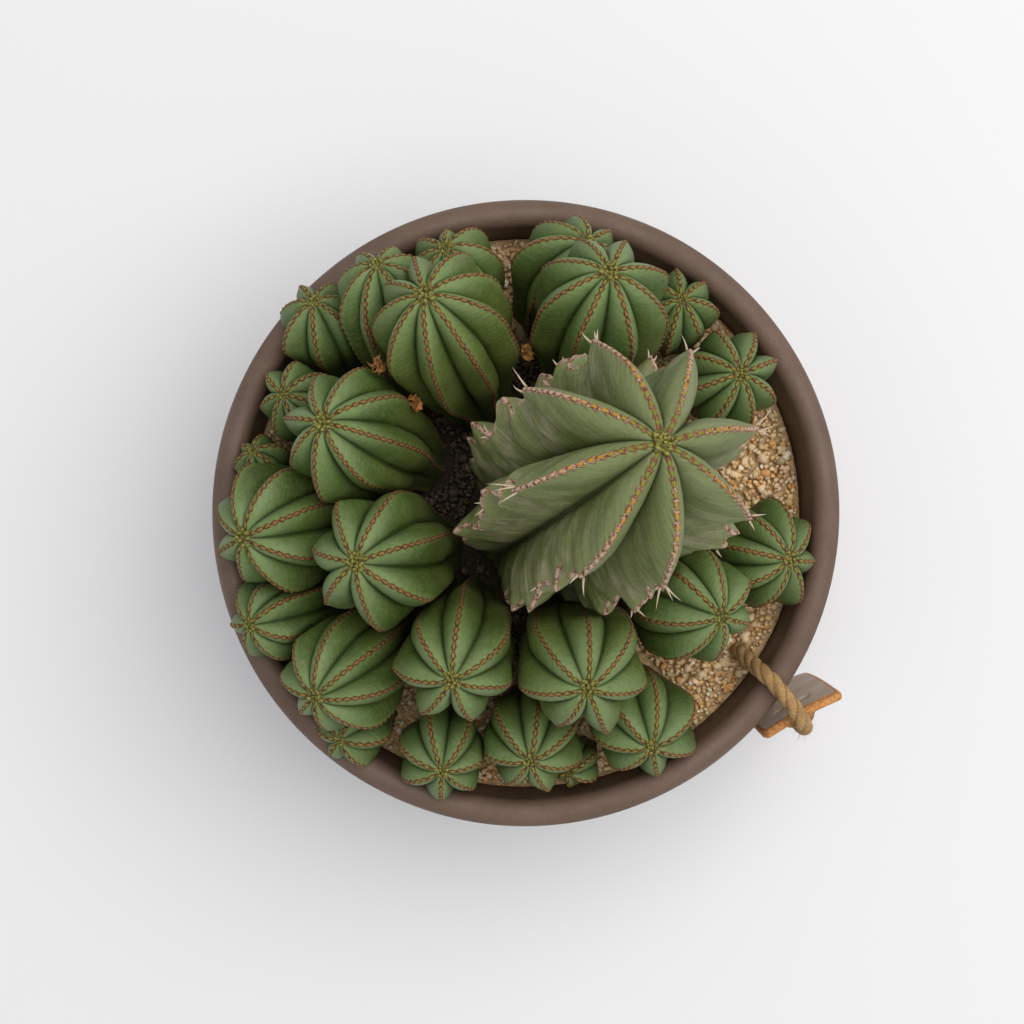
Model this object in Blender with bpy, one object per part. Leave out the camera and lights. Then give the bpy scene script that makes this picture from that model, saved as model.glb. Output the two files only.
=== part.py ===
"""A clump of ribbed succulent stems in a round-lipped stoneware pot.

Metres, +Z up. The origin is the middle of the pot's flat underside, so the pot stands on Z = 0. The pot
holds a potting mix, a layer of gravel lies on the mix, and each stem goes down through a pocket in the gravel.
The stems crowd each other, so a stem is as thick as its girth says only where its neighbours leave it room. A
twine comes up out of the gravel, crosses the lip and holds a small tag against the outside of the pot.
"""

import math
from typing import NamedTuple

import bmesh
import bpy
import numpy as np

# ---------------------------------------------------------------- driving dimensions
# The pot.
RIM_DIAMETER = 0.170
BASE_DIAMETER = 0.116
POT_HEIGHT = 0.092
WALL = 0.0076  # the lip is a half round of this thickness
FLOOR = 0.009
WALL_BULGE = 0.006  # how far the side swells out past the straight line from base to rim
FOOT_CHAMFER = 0.002
DRAIN_HOLES = 3
DRAIN_DIAMETER = 0.009
DRAIN_CIRCLE = 0.056
POT_SEGMENTS = 48
SIDE_STEPS = 7
LIP_STEPS = 6

# What fills it.
GRAVEL_DROP = 0.014  # from the rim down to the gravel's surface
GRAVEL_DEPTH = 0.011
CLEARANCE = 0.0003  # between any two pieces that touch

# The stems.
STEM_GAP = 0.0011  # left between two stems that press on each other
LIP_GAP = 0.0015  # left between a stem and the lip that it leans over
NECK = 0.54  # an offset's thickness at the gravel, as a share of its girth
SWELL_END = 0.6  # where along the offset its neck has swollen to the full girth
DOME = 0.9  # height of the round top, in girths
VALLEY = 0.24  # depth of the valleys between ribs, as a share of the radius
VALLEY_AT_TIP = 0.42
MOTHER_NECK = 0.62
MOTHER_SWELL_END = 0.34
MOTHER_VALLEY = 0.44
MOTHER_VALLEY_AT_TIP = 0.6
BOW_OUT = 0.42  # the axis curve's middle point, as shares of the way out and of the way up
BOW_UP = 0.52
POCKET_SIDES = 14
SWELL_RINGS = 4
DOME_RINGS = 4
DOME_RING_POWER = 1.3  # draws the dome's rings a little towards its edge
LEAST_DOME_START = 0.2  # a short stem's dome may take up all but this share of its axis
LEVEL_END = 0.3  # the rings lie flat at the gravel, and square to the axis from this share on
VALLEY_START = 0.3  # the valleys' depth at the gravel, as a share of their full depth
VALLEY_FULL = 0.25  # the share of the axis where the valleys are at full depth
SKELETON_BALLS = 14
PRESS_STEPS = 25  # tries along a radius when looking for where the stem's room ends
LENGTH_STEPS = 20

# The dried flowers.
FLOWER_RADIUS = 0.0032
FLOWER_ROUND = 0.84  # the ball's radius between its lobes, and how far the lobes stand out, in flower radii
FLOWER_LOBE = 0.14
FLOWER_LOBES = 5
FLOWER_LIFT = 0.06  # the furthest a flower is lifted to find room

# The twine and the tag. The route's heights are counted from the rim.
TWINE_DIAMETER = 0.0045
TWINE_STEP = 0.005
TWINE_SMOOTHING = 12  # points worked out between two of the route's own
TWINE_ROUTE = [
    (0.0587, -0.0378, -0.0215),
    (0.0587, -0.0378, -0.0175),
    (0.0588, -0.0379, -0.0130),
    (0.0597, -0.0389, -0.0085),
    (0.0616, -0.0408, -0.0037),
    (0.0636, -0.0428, 0.0012),
    (0.0660, -0.0450, 0.0031),
    (0.0685, -0.0480, 0.0035),
    (0.0712, -0.0512, 0.0030),
    (0.0737, -0.0546, 0.0016),
    (0.0752, -0.0573, -0.0010),
    (0.0758, -0.0583, -0.0055),
    (0.0758, -0.0583, -0.0105),
    (0.0757, -0.0581, -0.0155),
]
TAG_BEARING = -35.7
TAG_OUT = 0.0072  # from the rim's outer edge to the middle of the tag
TAG_TURN = 28.3  # the bearing along which the tag's top edge runs
TAG_DROP = 0.0026  # from the rim down to the top of the tag
TAG_WIDTH = 0.0246
TAG_HEIGHT = 0.068
TAG_THICKNESS = 0.0025
TAG_ARCH = 0.0022  # how much the top edge rises in its middle
TAG_CORNER = 0.0025
TAG_ARCH_STEPS = 8
TAG_CORNER_STEPS = 3
TAG_HOLE_DIAMETER = 0.0036
TAG_HOLE_SPACING = 0.0078
TAG_HOLE_DROP = 0.0160
KNOT_LENGTH = 0.0125
KNOT_DIAMETER = 0.0050
HOLE_SIDES = 12
SHARP_ANGLE = 40  # degrees between two faces past which their edge is shaded sharp
MERGE = 1e-6


class Stem(NamedTuple):
    """A stem's foot and tip, each as a bearing in degrees and a share of the way out to the pot's inside wall,
    the tip's height over the gravel, the radius over the ribs at its thickest, the ribs, and how far they are
    turned, in degrees."""

    name: str
    foot: tuple
    tip: tuple
    rise: float
    girth: float
    ribs: int
    turn: float


MOTHER = Stem("mother_stem", (333, 0.06), (27.7, 0.455), 0.109, 0.0325, 8, 16)
OFFSETS = [
    # The tall ones, close round the mother stem.
    Stem("offset_01", (112, 0.47), (115, 0.795), 0.057, 0.0185, 9, 29),
    Stem("offset_02", (70, 0.55), (71, 0.84), 0.055, 0.0172, 8, 23),
    Stem("offset_03", (155, 0.45), (156, 0.74), 0.053, 0.0175, 8, 27),
    Stem("offset_04", (200, 0.37), (196, 0.585), 0.059, 0.0175, 7, 17),
    Stem("offset_05", (240, 0.39), (246, 0.605), 0.056, 0.0158, 7, 33),
    Stem("offset_06", (293, 0.38), (289, 0.61), 0.058, 0.0175, 7, 39),
    Stem("offset_07", (329, 0.48), (332, 0.75), 0.041, 0.0167, 7, 29),
    # The outer ones, leaning over the rim.
    Stem("offset_08", (350, 0.75), (350, 0.93), 0.027, 0.0154, 8, 31),
    Stem("offset_09", (180, 0.675), (185, 0.965), 0.039, 0.0174, 8, 22),
    Stem("offset_10", (204, 0.80), (202, 1.035), 0.027, 0.0130, 7, 30),
    Stem("offset_11", (222, 0.645), (221, 0.955), 0.038, 0.0164, 8, 41),
    Stem("offset_12", (233, 0.905), (230.5, 1.03), 0.021, 0.0104, 6, 0),
    Stem("offset_13", (250, 0.815), (252, 0.94), 0.028, 0.0130, 7, 5),
    Stem("offset_14", (272, 0.70), (271, 0.855), 0.032, 0.0144, 7, 33),
    Stem("offset_15", (284, 0.88), (279, 0.93), 0.015, 0.0070, 6, 30),
    Stem("offset_16", (301, 0.735), (298, 0.92), 0.030, 0.0148, 7, 30),
    Stem("offset_17", (131, 0.62), (121, 0.99), 0.037, 0.0145, 8, 40),
    Stem("offset_18", (106, 0.715), (107, 0.96), 0.029, 0.0132, 8, 5),
    Stem("offset_19", (141, 0.865), (135, 1.045), 0.024, 0.0126, 7, 18),
    Stem("offset_20", (154, 0.80), (154, 0.94), 0.026, 0.0114, 7, 33),
    Stem("offset_21", (173, 0.905), (167, 0.985), 0.019, 0.0078, 6, 20),
    Stem("offset_22", (51, 0.84), (54, 0.92), 0.025, 0.0110, 7, 45),
    Stem("offset_23", (34, 0.785), (33, 0.88), 0.032, 0.0138, 8, 20),
    Stem("offset_24", (84, 0.72), (77, 0.955), 0.033, 0.0152, 8, 0),
]
STEMS = [MOTHER, *OFFSETS]

# Each dried flower's bearing, share of the way out, and the least height over the gravel at which it is caught.
FLOWERS = [
    (135, 0.53, 0.042),
    (134, 0.70, 0.042),
    (91, 0.55, 0.034),
    (352, 0.615, 0.038),
]

# ---------------------------------------------------------------- worked out from them
RIM_RADIUS = RIM_DIAMETER / 2
LIP_RADIUS = WALL / 2
LIP_CENTRE_OUT = RIM_RADIUS - LIP_RADIUS
LIP_CENTRE_UP = POT_HEIGHT - LIP_RADIUS
GRAVEL_TOP = POT_HEIGHT - GRAVEL_DROP
GRAVEL_BOTTOM = GRAVEL_TOP - GRAVEL_DEPTH
MIX_TOP = GRAVEL_BOTTOM - CLEARANCE
STEM_BOTTOM = MIX_TOP + CLEARANCE


def outside_radius(height):
    """The pot's outer radius: a straight line from base to lip, swollen by half a sine wave."""
    share = np.clip(height / LIP_CENTRE_UP, 0, 1)
    straight = BASE_DIAMETER / 2 + (RIM_RADIUS - BASE_DIAMETER / 2) * share
    return straight + WALL_BULGE * np.sin(np.pi * share)


def inside_radius(height):
    return outside_radius(height) - WALL


SOIL_RADIUS = float(inside_radius(GRAVEL_TOP))


# ---------------------------------------------------------------- helpers
def clear_scene():
    for item in list(bpy.data.objects):
        bpy.data.objects.remove(item, do_unlink=True)


def material(name, colour, roughness):
    made = bpy.data.materials.new(name)
    made.use_nodes = True
    shader = made.node_tree.nodes["Principled BSDF"]
    shader.inputs["Base Color"].default_value = (*colour, 1)
    shader.inputs["Roughness"].default_value = roughness
    shader.inputs["Metallic"].default_value = 0
    return made


def add_object(name, data, finish=None):
    item = bpy.data.objects.new(name, data)
    bpy.context.scene.collection.objects.link(item)
    if finish is not None:
        data.materials.append(finish)
    return item


def mesh_object(name, bm, finish=None, smooth=False):
    mesh = bpy.data.meshes.new(name)
    bm.to_mesh(mesh)
    bm.free()
    if smooth:
        mesh.shade_smooth()
        mesh.set_sharp_from_angle(angle=math.radians(SHARP_ANGLE))
    return add_object(name, mesh, finish)


def turned(name, profile, finish, segments=POT_SEGMENTS):
    """A solid of revolution about Z from (radius, height) pairs that run from the axis back to the axis."""
    bm = bmesh.new()
    line = [bm.verts.new((radius, 0, height)) for radius, height in profile]
    edges = [bm.edges.new(pair) for pair in zip(line, line[1:])]
    bmesh.ops.spin(
        bm,
        geom=line + edges,
        axis=(0, 0, 1),
        cent=(0, 0, 0),
        angle=2 * math.pi,
        steps=segments,
        use_merge=True,
    )
    bmesh.ops.remove_doubles(bm, verts=bm.verts, dist=MERGE)
    bmesh.ops.recalc_face_normals(bm, faces=bm.faces)
    return mesh_object(name, bm, finish, smooth=True)


def cylinder(bm, centre, radius, low, high, sides, direction="Z", spin=0):
    """A closed cylinder from low to high along its own direction, added to a bmesh."""
    made = bmesh.ops.create_cone(
        bm, cap_ends=True, segments=sides, radius1=radius, radius2=radius, depth=high - low
    )
    middle = (low + high) / 2
    for vertex in made["verts"]:
        vertex.co.z += middle
        if direction == "Y":
            vertex.co.y, vertex.co.z = vertex.co.z, -vertex.co.y
        x, y = vertex.co.x, vertex.co.y
        vertex.co.x = x * math.cos(spin) - y * math.sin(spin) + centre[0]
        vertex.co.y = x * math.sin(spin) + y * math.cos(spin) + centre[1]
        vertex.co.z += centre[2]


def boolean(target, other, operation):
    """Cuts a tool out of the target, or joins it on. The tool is a guide and not a piece."""
    other.hide_render = True
    other.display_type = "WIRE"
    change = target.modifiers.new(operation.lower(), "BOOLEAN")
    change.operation = operation
    change.object = other
    change.solver = "EXACT"
    change.use_self = True


# ---------------------------------------------------------------- the pot and what fills it
def pot_profile():
    """From the middle of the floor's underside, out and up the side, round the lip and down the inside."""
    base = BASE_DIAMETER / 2
    points = [(0, 0), (base - FOOT_CHAMFER, 0)]
    for step in range(SIDE_STEPS + 1):
        height = FOOT_CHAMFER + (LIP_CENTRE_UP - FOOT_CHAMFER) * step / SIDE_STEPS
        points.append((float(outside_radius(height)), height))
    for step in range(1, LIP_STEPS):
        angle = math.pi * step / LIP_STEPS
        points.append(
            (LIP_CENTRE_OUT + LIP_RADIUS * math.cos(angle), LIP_CENTRE_UP + LIP_RADIUS * math.sin(angle))
        )
    for step in range(SIDE_STEPS, -1, -1):
        height = FLOOR + (LIP_CENTRE_UP - FLOOR) * step / SIDE_STEPS
        points.append((float(inside_radius(height)), height))
    points.append((0, FLOOR))
    return points


def filling_profile(bottom, top):
    """The outline of what lies in the pot between two heights, a clearance inside the wall."""
    heights = np.linspace(bottom, top, 4)
    side = [(float(inside_radius(height)) - 2 * CLEARANCE, float(height)) for height in heights]
    return [(0, bottom), *side, (0, top)]


def make_pot(finish):
    pot = turned("pot", pot_profile(), finish)
    bm = bmesh.new()
    for hole in range(DRAIN_HOLES):
        bearing = 2 * math.pi * hole / DRAIN_HOLES
        centre = (DRAIN_CIRCLE / 2 * math.cos(bearing), DRAIN_CIRCLE / 2 * math.sin(bearing), 0)
        cylinder(bm, centre, DRAIN_DIAMETER / 2, -FLOOR, 2 * FLOOR, HOLE_SIDES)
    boolean(pot, mesh_object("drain_cutter", bm), "DIFFERENCE")
    return pot


def make_gravel(finish, necks):
    """The gravel layer, with a round pocket for each stem and one for the twine."""
    gravel = turned("gravel", filling_profile(GRAVEL_BOTTOM, GRAVEL_TOP), finish)
    grow = 1 / math.cos(math.pi / POCKET_SIDES)  # so that the pocket's flats clear the stem
    above = GRAVEL_TOP + WALL
    bm = bmesh.new()
    for stem, neck in zip(STEMS, necks):
        x, y, _ = foot_of(stem)
        cylinder(bm, (x, y, 0), (neck + CLEARANCE) * grow, GRAVEL_BOTTOM - WALL, above, POCKET_SIDES)
    x, y, start = TWINE_ROUTE[0]
    radius = TWINE_DIAMETER / 2 + 2 * CLEARANCE
    cylinder(bm, (x, y, 0), radius * grow, POT_HEIGHT + start - CLEARANCE, above, POCKET_SIDES)
    boolean(gravel, mesh_object("pocket_cutter", bm), "DIFFERENCE")
    return gravel


# ---------------------------------------------------------------- the stems
def place(bearing, share, height):
    """A point at a bearing in degrees, at a share of the way out to the pot's inside wall."""
    angle = math.radians(bearing)
    return np.array([SOIL_RADIUS * share * math.cos(angle), SOIL_RADIUS * share * math.sin(angle), height])


def foot_of(stem):
    return place(*stem.foot, GRAVEL_TOP + CLEARANCE)


def axis_of(stem, shares):
    """Points on the stem's axis, a curve that bows from the foot to the tip, and the axis's direction there."""
    foot = foot_of(stem)
    tip = place(*stem.tip, GRAVEL_TOP + stem.rise)
    middle = foot + (tip - foot) * np.array([BOW_OUT, BOW_OUT, BOW_UP])
    t = np.asarray(shares, float)[:, None]
    points = (1 - t) ** 2 * foot + 2 * t * (1 - t) * middle + t**2 * tip
    ahead = (1 - t) * (middle - foot) + t * (tip - middle)
    return points, ahead / np.linalg.norm(ahead, axis=1, keepdims=True)


def length_of(stem):
    """How long the stem's axis is."""
    points, _ = axis_of(stem, np.linspace(0, 1, LENGTH_STEPS))
    return float(np.linalg.norm(np.diff(points, axis=0), axis=1).sum())


def radius_of(stem, shares):
    """The radius over the ribs: a neck that swells to the full girth, and a round top."""
    shares = np.asarray(shares, float)
    neck, swell_end = (MOTHER_NECK, MOTHER_SWELL_END) if stem is MOTHER else (NECK, SWELL_END)
    swell = np.clip(shares / swell_end, 0, 1)
    body = neck + (1 - neck) * swell**2 * (3 - 2 * swell)
    below_tip = (1 - shares) * length_of(stem) / (DOME * stem.girth)
    return stem.girth * body * np.sqrt(1 - (1 - np.clip(below_tip, 0, 1)) ** 2)


def skeleton_of(stem):
    """Balls along the axis that stand for the stem's thickness when its neighbours press on it."""
    shares = np.linspace(0, 1, SKELETON_BALLS)
    return axis_of(stem, shares)[0], radius_of(stem, shares)


def depth_in(points, skeleton):
    """How far each point is outside a skeleton's balls, negative inside them."""
    centres, radii = skeleton
    apart = np.linalg.norm(points[..., None, :] - centres, axis=-1)
    return (apart - radii).min(axis=-1)


def room_for(points, own, others):
    """How much room each point has before the stem meets a neighbour, the gravel, the lip or the wall. A point
    at the gravel keeps off the wall's narrower part at the stub's foot too."""
    mine = depth_in(points, own)
    room = points[..., 2] - GRAVEL_TOP - CLEARANCE / 2
    for skeleton in others:
        room = np.minimum(room, (depth_in(points, skeleton) - mine - STEM_GAP) / 2)
    out = np.hypot(points[..., 0], points[..., 1])
    off_lip = np.hypot(out - LIP_CENTRE_OUT, points[..., 2] - LIP_CENTRE_UP) - LIP_RADIUS - LIP_GAP
    lowest = np.where(points[..., 2] < GRAVEL_TOP + 2 * CLEARANCE, STEM_BOTTOM, points[..., 2])
    off_wall = inside_radius(lowest) - 3 * CLEARANCE - out
    below_lip = points[..., 2] < LIP_CENTRE_UP
    return np.minimum(room, np.where(below_lip, np.minimum(off_wall, off_lip), off_lip))


def pressed(centres, directions, wanted, own, others):
    """The wanted radii, cut down along each direction to where the stem's room ends."""
    steps = np.linspace(0, 1, PRESS_STEPS)
    reach = wanted[..., None] * steps
    points = centres[..., None, :] + directions[..., None, :] * reach[..., None]
    room = room_for(points, own, others)
    free = np.minimum.accumulate(room > 0, axis=-1).sum(axis=-1)
    last = np.clip(free - 1, 0, len(steps) - 1)
    following = np.clip(free, 0, len(steps) - 1)
    before = np.take_along_axis(room, last[..., None], -1)[..., 0]
    after = np.take_along_axis(room, following[..., None], -1)[..., 0]
    part = np.where(following > last, before / np.maximum(before - after, 1e-9), 0)
    return wanted * (last + part) / (len(steps) - 1)


def ring_shares(stem):
    """Where the rings lie along the axis: evenly up to the round top, then by even angles over it."""
    dome_start = 1 - DOME * stem.girth / length_of(stem)
    dome_start = max(dome_start, LEAST_DOME_START)
    swell = np.linspace(0, dome_start, SWELL_RINGS + 1)
    angles = np.linspace(0, np.pi / 2, DOME_RINGS + 2)[1:-1]
    return np.concatenate([swell, dome_start + (1 - dome_start) * np.sin(angles) ** DOME_RING_POWER])


def unit(vectors):
    return vectors / np.linalg.norm(vectors, axis=-1, keepdims=True)


def ring_directions(stem, shares, ahead):
    """Unit vectors from the axis out to each ring's corners. A ring turns from level at the gravel to square to
    the axis, and its first corner lies on the bearing that the stem is turned to."""
    level = np.clip(shares / LEVEL_END, 0, 1)[:, None]
    normal = unit((1 - level) * np.array([0, 0, 1.0]) + level * ahead)
    turn = math.radians(stem.turn)
    start = np.array([math.cos(turn), math.sin(turn), 0])
    across = unit(start - normal * (normal @ start)[:, None])
    beside = np.cross(normal, across)
    angle = np.pi * np.arange(2 * stem.ribs)[None, :, None] / stem.ribs
    return np.cos(angle) * across[:, None, :] + np.sin(angle) * beside[:, None, :]


def valley_depth(stem, shares):
    """How deep the valleys are, as a share of the radius: shallow at the gravel and deepest at the tip."""
    low, at_tip = (MOTHER_VALLEY, MOTHER_VALLEY_AT_TIP) if stem is MOTHER else (VALLEY, VALLEY_AT_TIP)
    near_tip = np.clip(1 - (1 - shares) * length_of(stem) / (DOME * stem.girth), 0, 1)
    return (low + (at_tip - low) * near_tip) * np.clip(shares / VALLEY_FULL, VALLEY_START, 1)


def stem_rings(stem, others):
    """The corners of the stem's rings, as rings x corners x 3: a ridge and a valley for each rib."""
    shares = ring_shares(stem)
    centres, ahead = axis_of(stem, shares)
    directions = ring_directions(stem, shares, ahead)
    is_valley = np.arange(2 * stem.ribs) % 2
    wanted = radius_of(stem, shares)[:, None] * (1 - valley_depth(stem, shares)[:, None] * is_valley)
    wide = np.broadcast_to(centres[:, None, :], directions.shape)
    reach = pressed(wide, directions, wanted, skeleton_of(stem), others)
    return wide + directions * reach[..., None], centres[0]


def neck_radius(rings, centre):
    """The radius at the gravel, which the pocket is cut for."""
    return float(np.linalg.norm((rings[0] - centre)[:, :2], axis=1).max())


def make_stem(stem, rings, finish):
    """The rings bridged into one closed body, with a stub below that goes through the gravel to the mix."""
    bm = bmesh.new()
    stub = rings[0].copy()
    stub[:, 2] = STEM_BOTTOM
    loops = [[bm.verts.new(corner) for corner in ring] for ring in [stub, *rings]]
    count = 2 * stem.ribs
    for lower, upper in zip(loops, loops[1:]):
        for i in range(count):
            j = (i + 1) % count
            bm.faces.new((lower[i], lower[j], upper[j], upper[i]))
    tip = bm.verts.new(place(*stem.tip, GRAVEL_TOP + stem.rise))
    for i in range(count):
        bm.faces.new((loops[-1][i], loops[-1][(i + 1) % count], tip))
    bm.faces.new(list(reversed(loops[0])))
    bmesh.ops.triangulate(bm, faces=bm.faces)
    return mesh_object(stem.name, bm, finish, smooth=True)


def make_stems(finishes):
    """All the stems, each pressed by the others and by the flowers, and the radius of each neck."""
    skeletons = {stem.name: skeleton_of(stem) for stem in STEMS}
    buds = [(flower_place(flower)[None, :], np.array([FLOWER_RADIUS])) for flower in FLOWERS]
    necks = []
    for stem in STEMS:
        others = [found for name, found in skeletons.items() if name != stem.name] + buds
        rings, centre = stem_rings(stem, others)
        necks.append(neck_radius(rings, centre))
        make_stem(stem, rings, finishes["mother" if stem is MOTHER else "offset"])
    return necks


# ---------------------------------------------------------------- the dried flowers
def flower_place(flower):
    """The middle of a dried flower: at its least height, or higher, where the stems first leave it free."""
    bearing, share, rise = flower
    heights = GRAVEL_TOP + rise + np.arange(0, FLOWER_LIFT, FLOWER_RADIUS / 8)
    column = np.array([place(bearing, share, height) for height in heights])
    free = np.min([depth_in(column, skeleton_of(stem)) for stem in STEMS], axis=0) > 0
    return column[int(np.argmax(free))]


def make_flowers(finish):
    """Each flower is a small rough ball, cut down to the room that the stems leave."""
    skeletons = [skeleton_of(stem) for stem in STEMS]
    places = [flower_place(flower) for flower in FLOWERS]
    for number, centre in enumerate(places, start=1):
        bm = bmesh.new()
        bmesh.ops.create_icosphere(bm, subdivisions=2, radius=FLOWER_RADIUS)
        directions = unit(np.array([vertex.co for vertex in bm.verts]))
        bearing = np.arctan2(directions[:, 1], directions[:, 0])
        lobes = FLOWER_ROUND + FLOWER_LOBE * np.sin(FLOWER_LOBES * bearing) * directions[:, 2]
        wide = np.broadcast_to(centre, directions.shape)
        own = (centre[None, :], np.array([FLOWER_RADIUS]))
        buds = [(found[None, :], np.array([FLOWER_RADIUS])) for found in places if found is not centre]
        reach = pressed(wide, directions, FLOWER_RADIUS * lobes, own, skeletons + buds)
        for vertex, corner in zip(bm.verts, wide + directions * reach[:, None]):
            vertex.co = corner
        mesh_object(f"dried_flower_{number}", bm, finish, smooth=True)


# ---------------------------------------------------------------- the twine and the tag
def smooth_route(route, step):
    """Points about a step apart on a smooth curve through the route's own, by the Catmull-Rom formula."""
    points = np.array(route)
    ends = np.vstack([2 * points[0] - points[1], points, 2 * points[-1] - points[-2]])
    t = np.linspace(0, 1, TWINE_SMOOTHING, endpoint=False)[:, None]
    pieces = []
    for a, b, c, d in zip(ends, ends[1:], ends[2:], ends[3:]):
        bend = (2 * a - 5 * b + 4 * c - d) * t**2
        twist = (3 * b - a - 3 * c + d) * t**3
        pieces.append((2 * b + (c - a) * t + bend + twist) / 2)
    fine = np.vstack([*pieces, points[-1:]])
    along = np.concatenate([[0], np.cumsum(np.linalg.norm(np.diff(fine, axis=0), axis=1))])
    wanted = np.linspace(0, along[-1], round(along[-1] / step) + 1)
    return np.column_stack([np.interp(wanted, along, fine[:, i]) for i in range(3)])


def make_twine(finish):
    route = [(x, y, POT_HEIGHT + height) for x, y, height in TWINE_ROUTE]
    points = smooth_route(route, TWINE_STEP)
    curve = bpy.data.curves.new("twine", "CURVE")
    curve.dimensions = "3D"
    curve.bevel_depth = TWINE_DIAMETER / 2
    curve.bevel_resolution = 2
    curve.use_fill_caps = True
    spline = curve.splines.new("POLY")
    spline.points.add(len(points) - 1)
    for point, found in zip(spline.points, points):
        point.co = (*found, 1)
    add_object("twine", curve, finish)


def tag_outline():
    """The tag's outline, x across and z up from the top of its arch: a strip with rounded lower corners."""
    half = TAG_WIDTH / 2
    arch_half = half - TAG_CORNER
    arch = np.linspace(arch_half, -arch_half, TAG_ARCH_STEPS + 1)
    points = [(float(x), -TAG_ARCH * float(x / half) ** 2) for x in arch]
    side_top = -TAG_ARCH - TAG_CORNER / 2
    points.append((-half, side_top))
    for side, start in ((-1, 180), (1, 270)):
        for step in range(TAG_CORNER_STEPS + 1):
            angle = math.radians(start + 90 * step / TAG_CORNER_STEPS)
            down = TAG_CORNER - TAG_HEIGHT + TAG_CORNER * math.sin(angle)
            points.append((side * arch_half + TAG_CORNER * math.cos(angle), down))
    points.append((half, side_top))
    return points


def tag_frame():
    """The middle of the tag's top edge, and the bearing in radians along that edge."""
    out = RIM_RADIUS + TAG_OUT
    bearing = math.radians(TAG_BEARING)
    turn = math.radians(TAG_TURN)
    middle = np.array([out * math.cos(bearing), out * math.sin(bearing), POT_HEIGHT - TAG_DROP])
    return middle, turn


def tag_point(across, outward, up):
    """A point counted from the middle of the tag's top edge: along it, away from the pot, and up."""
    middle, turn = tag_frame()
    along = np.array([math.cos(turn), math.sin(turn), 0])
    away = np.array([math.sin(turn), -math.cos(turn), 0])
    return middle + along * across + away * outward + np.array([0, 0, up])


def make_tag(finish):
    bm = bmesh.new()
    outline = [bm.verts.new(tag_point(x, -TAG_THICKNESS / 2, z)) for x, z in tag_outline()]
    face = bm.faces.new(outline)
    grown = bmesh.ops.extrude_face_region(bm, geom=[face])["geom"]
    shift = tag_point(0, TAG_THICKNESS, 0) - tag_point(0, 0, 0)
    for item in grown:
        if isinstance(item, bmesh.types.BMVert):
            item.co.x += shift[0]
            item.co.y += shift[1]
    bmesh.ops.recalc_face_normals(bm, faces=bm.faces)
    tag = mesh_object("tag", bm, finish)
    cutter = bmesh.new()
    for side in (-1, 1):
        across = side * TAG_HOLE_SPACING / 2
        add_peg(cutter, across, TAG_HOLE_DIAMETER / 2, -2 * TAG_THICKNESS, 2 * TAG_THICKNESS)
    boolean(tag, mesh_object("tag_hole_cutter", cutter), "DIFFERENCE")


def add_peg(bm, across, radius, inner, outer):
    """A cylinder square to the tag at the height of its holes, from one distance off its middle to another."""
    _, turn = tag_frame()
    centre = tag_point(across, 0, -TAG_HOLE_DROP)
    cylinder(bm, centre, radius, -outer, -inner, HOLE_SIDES, direction="Y", spin=turn)


def make_knot(finish):
    """The knot lies across the tag's outer face, with an end of twine in each of the two holes."""
    bm = bmesh.new()
    radius = KNOT_DIAMETER / 2
    off_face = TAG_THICKNESS / 2 + radius + CLEARANCE
    bmesh.ops.create_uvsphere(bm, u_segments=12, v_segments=8, radius=radius)
    for vertex in bm.verts:
        across = vertex.co.x * KNOT_LENGTH / KNOT_DIAMETER
        vertex.co = tag_point(across, off_face + vertex.co.y, vertex.co.z - TAG_HOLE_DROP)
    knot = mesh_object("twine_knot", bm, finish, smooth=True)
    pegs = bmesh.new()
    for side in (-1, 1):
        across = side * TAG_HOLE_SPACING / 2
        add_peg(pegs, across, TAG_HOLE_DIAMETER / 2 - 2 * CLEARANCE, -TAG_THICKNESS / 4, off_face)
    boolean(knot, mesh_object("knot_end_guide", pegs), "UNION")


# ---------------------------------------------------------------- the whole
def build():
    clear_scene()
    stoneware = material("stoneware", (0.165, 0.115, 0.092), 0.72)
    mix = material("potting_mix", (0.045, 0.030, 0.020), 0.95)
    grit = material("gravel", (0.50, 0.36, 0.22), 0.9)
    flesh = {
        "mother": material("mother_stem", (0.18, 0.26, 0.13), 0.55),
        "offset": material("offset_stem", (0.09, 0.20, 0.09), 0.5),
    }
    husk = material("dried_flower", (0.30, 0.12, 0.03), 0.9)
    jute = material("jute", (0.42, 0.25, 0.11), 0.9)
    leather = material("leather", (0.30, 0.22, 0.17), 0.7)

    make_pot(stoneware)
    turned("potting_mix", filling_profile(FLOOR + CLEARANCE, MIX_TOP), mix)
    necks = make_stems(flesh)
    make_gravel(grit, necks)
    make_flowers(husk)
    make_twine(jute)
    make_tag(leather)
    make_knot(jute)


build()
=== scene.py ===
# %% [markdown]
# # A clump of ribbed succulents in a stoneware bowl
# A low stoneware bowl holds a crowd of star-ribbed succulent stems: one old mother stem and its offsets.
# Gravel covers the soil, and a twine comes up out of it, crosses the lip and carries a leather tag. The
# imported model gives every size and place, and this lesson gives each piece its real surface.

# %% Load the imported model
import math
from typing import NamedTuple

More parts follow.
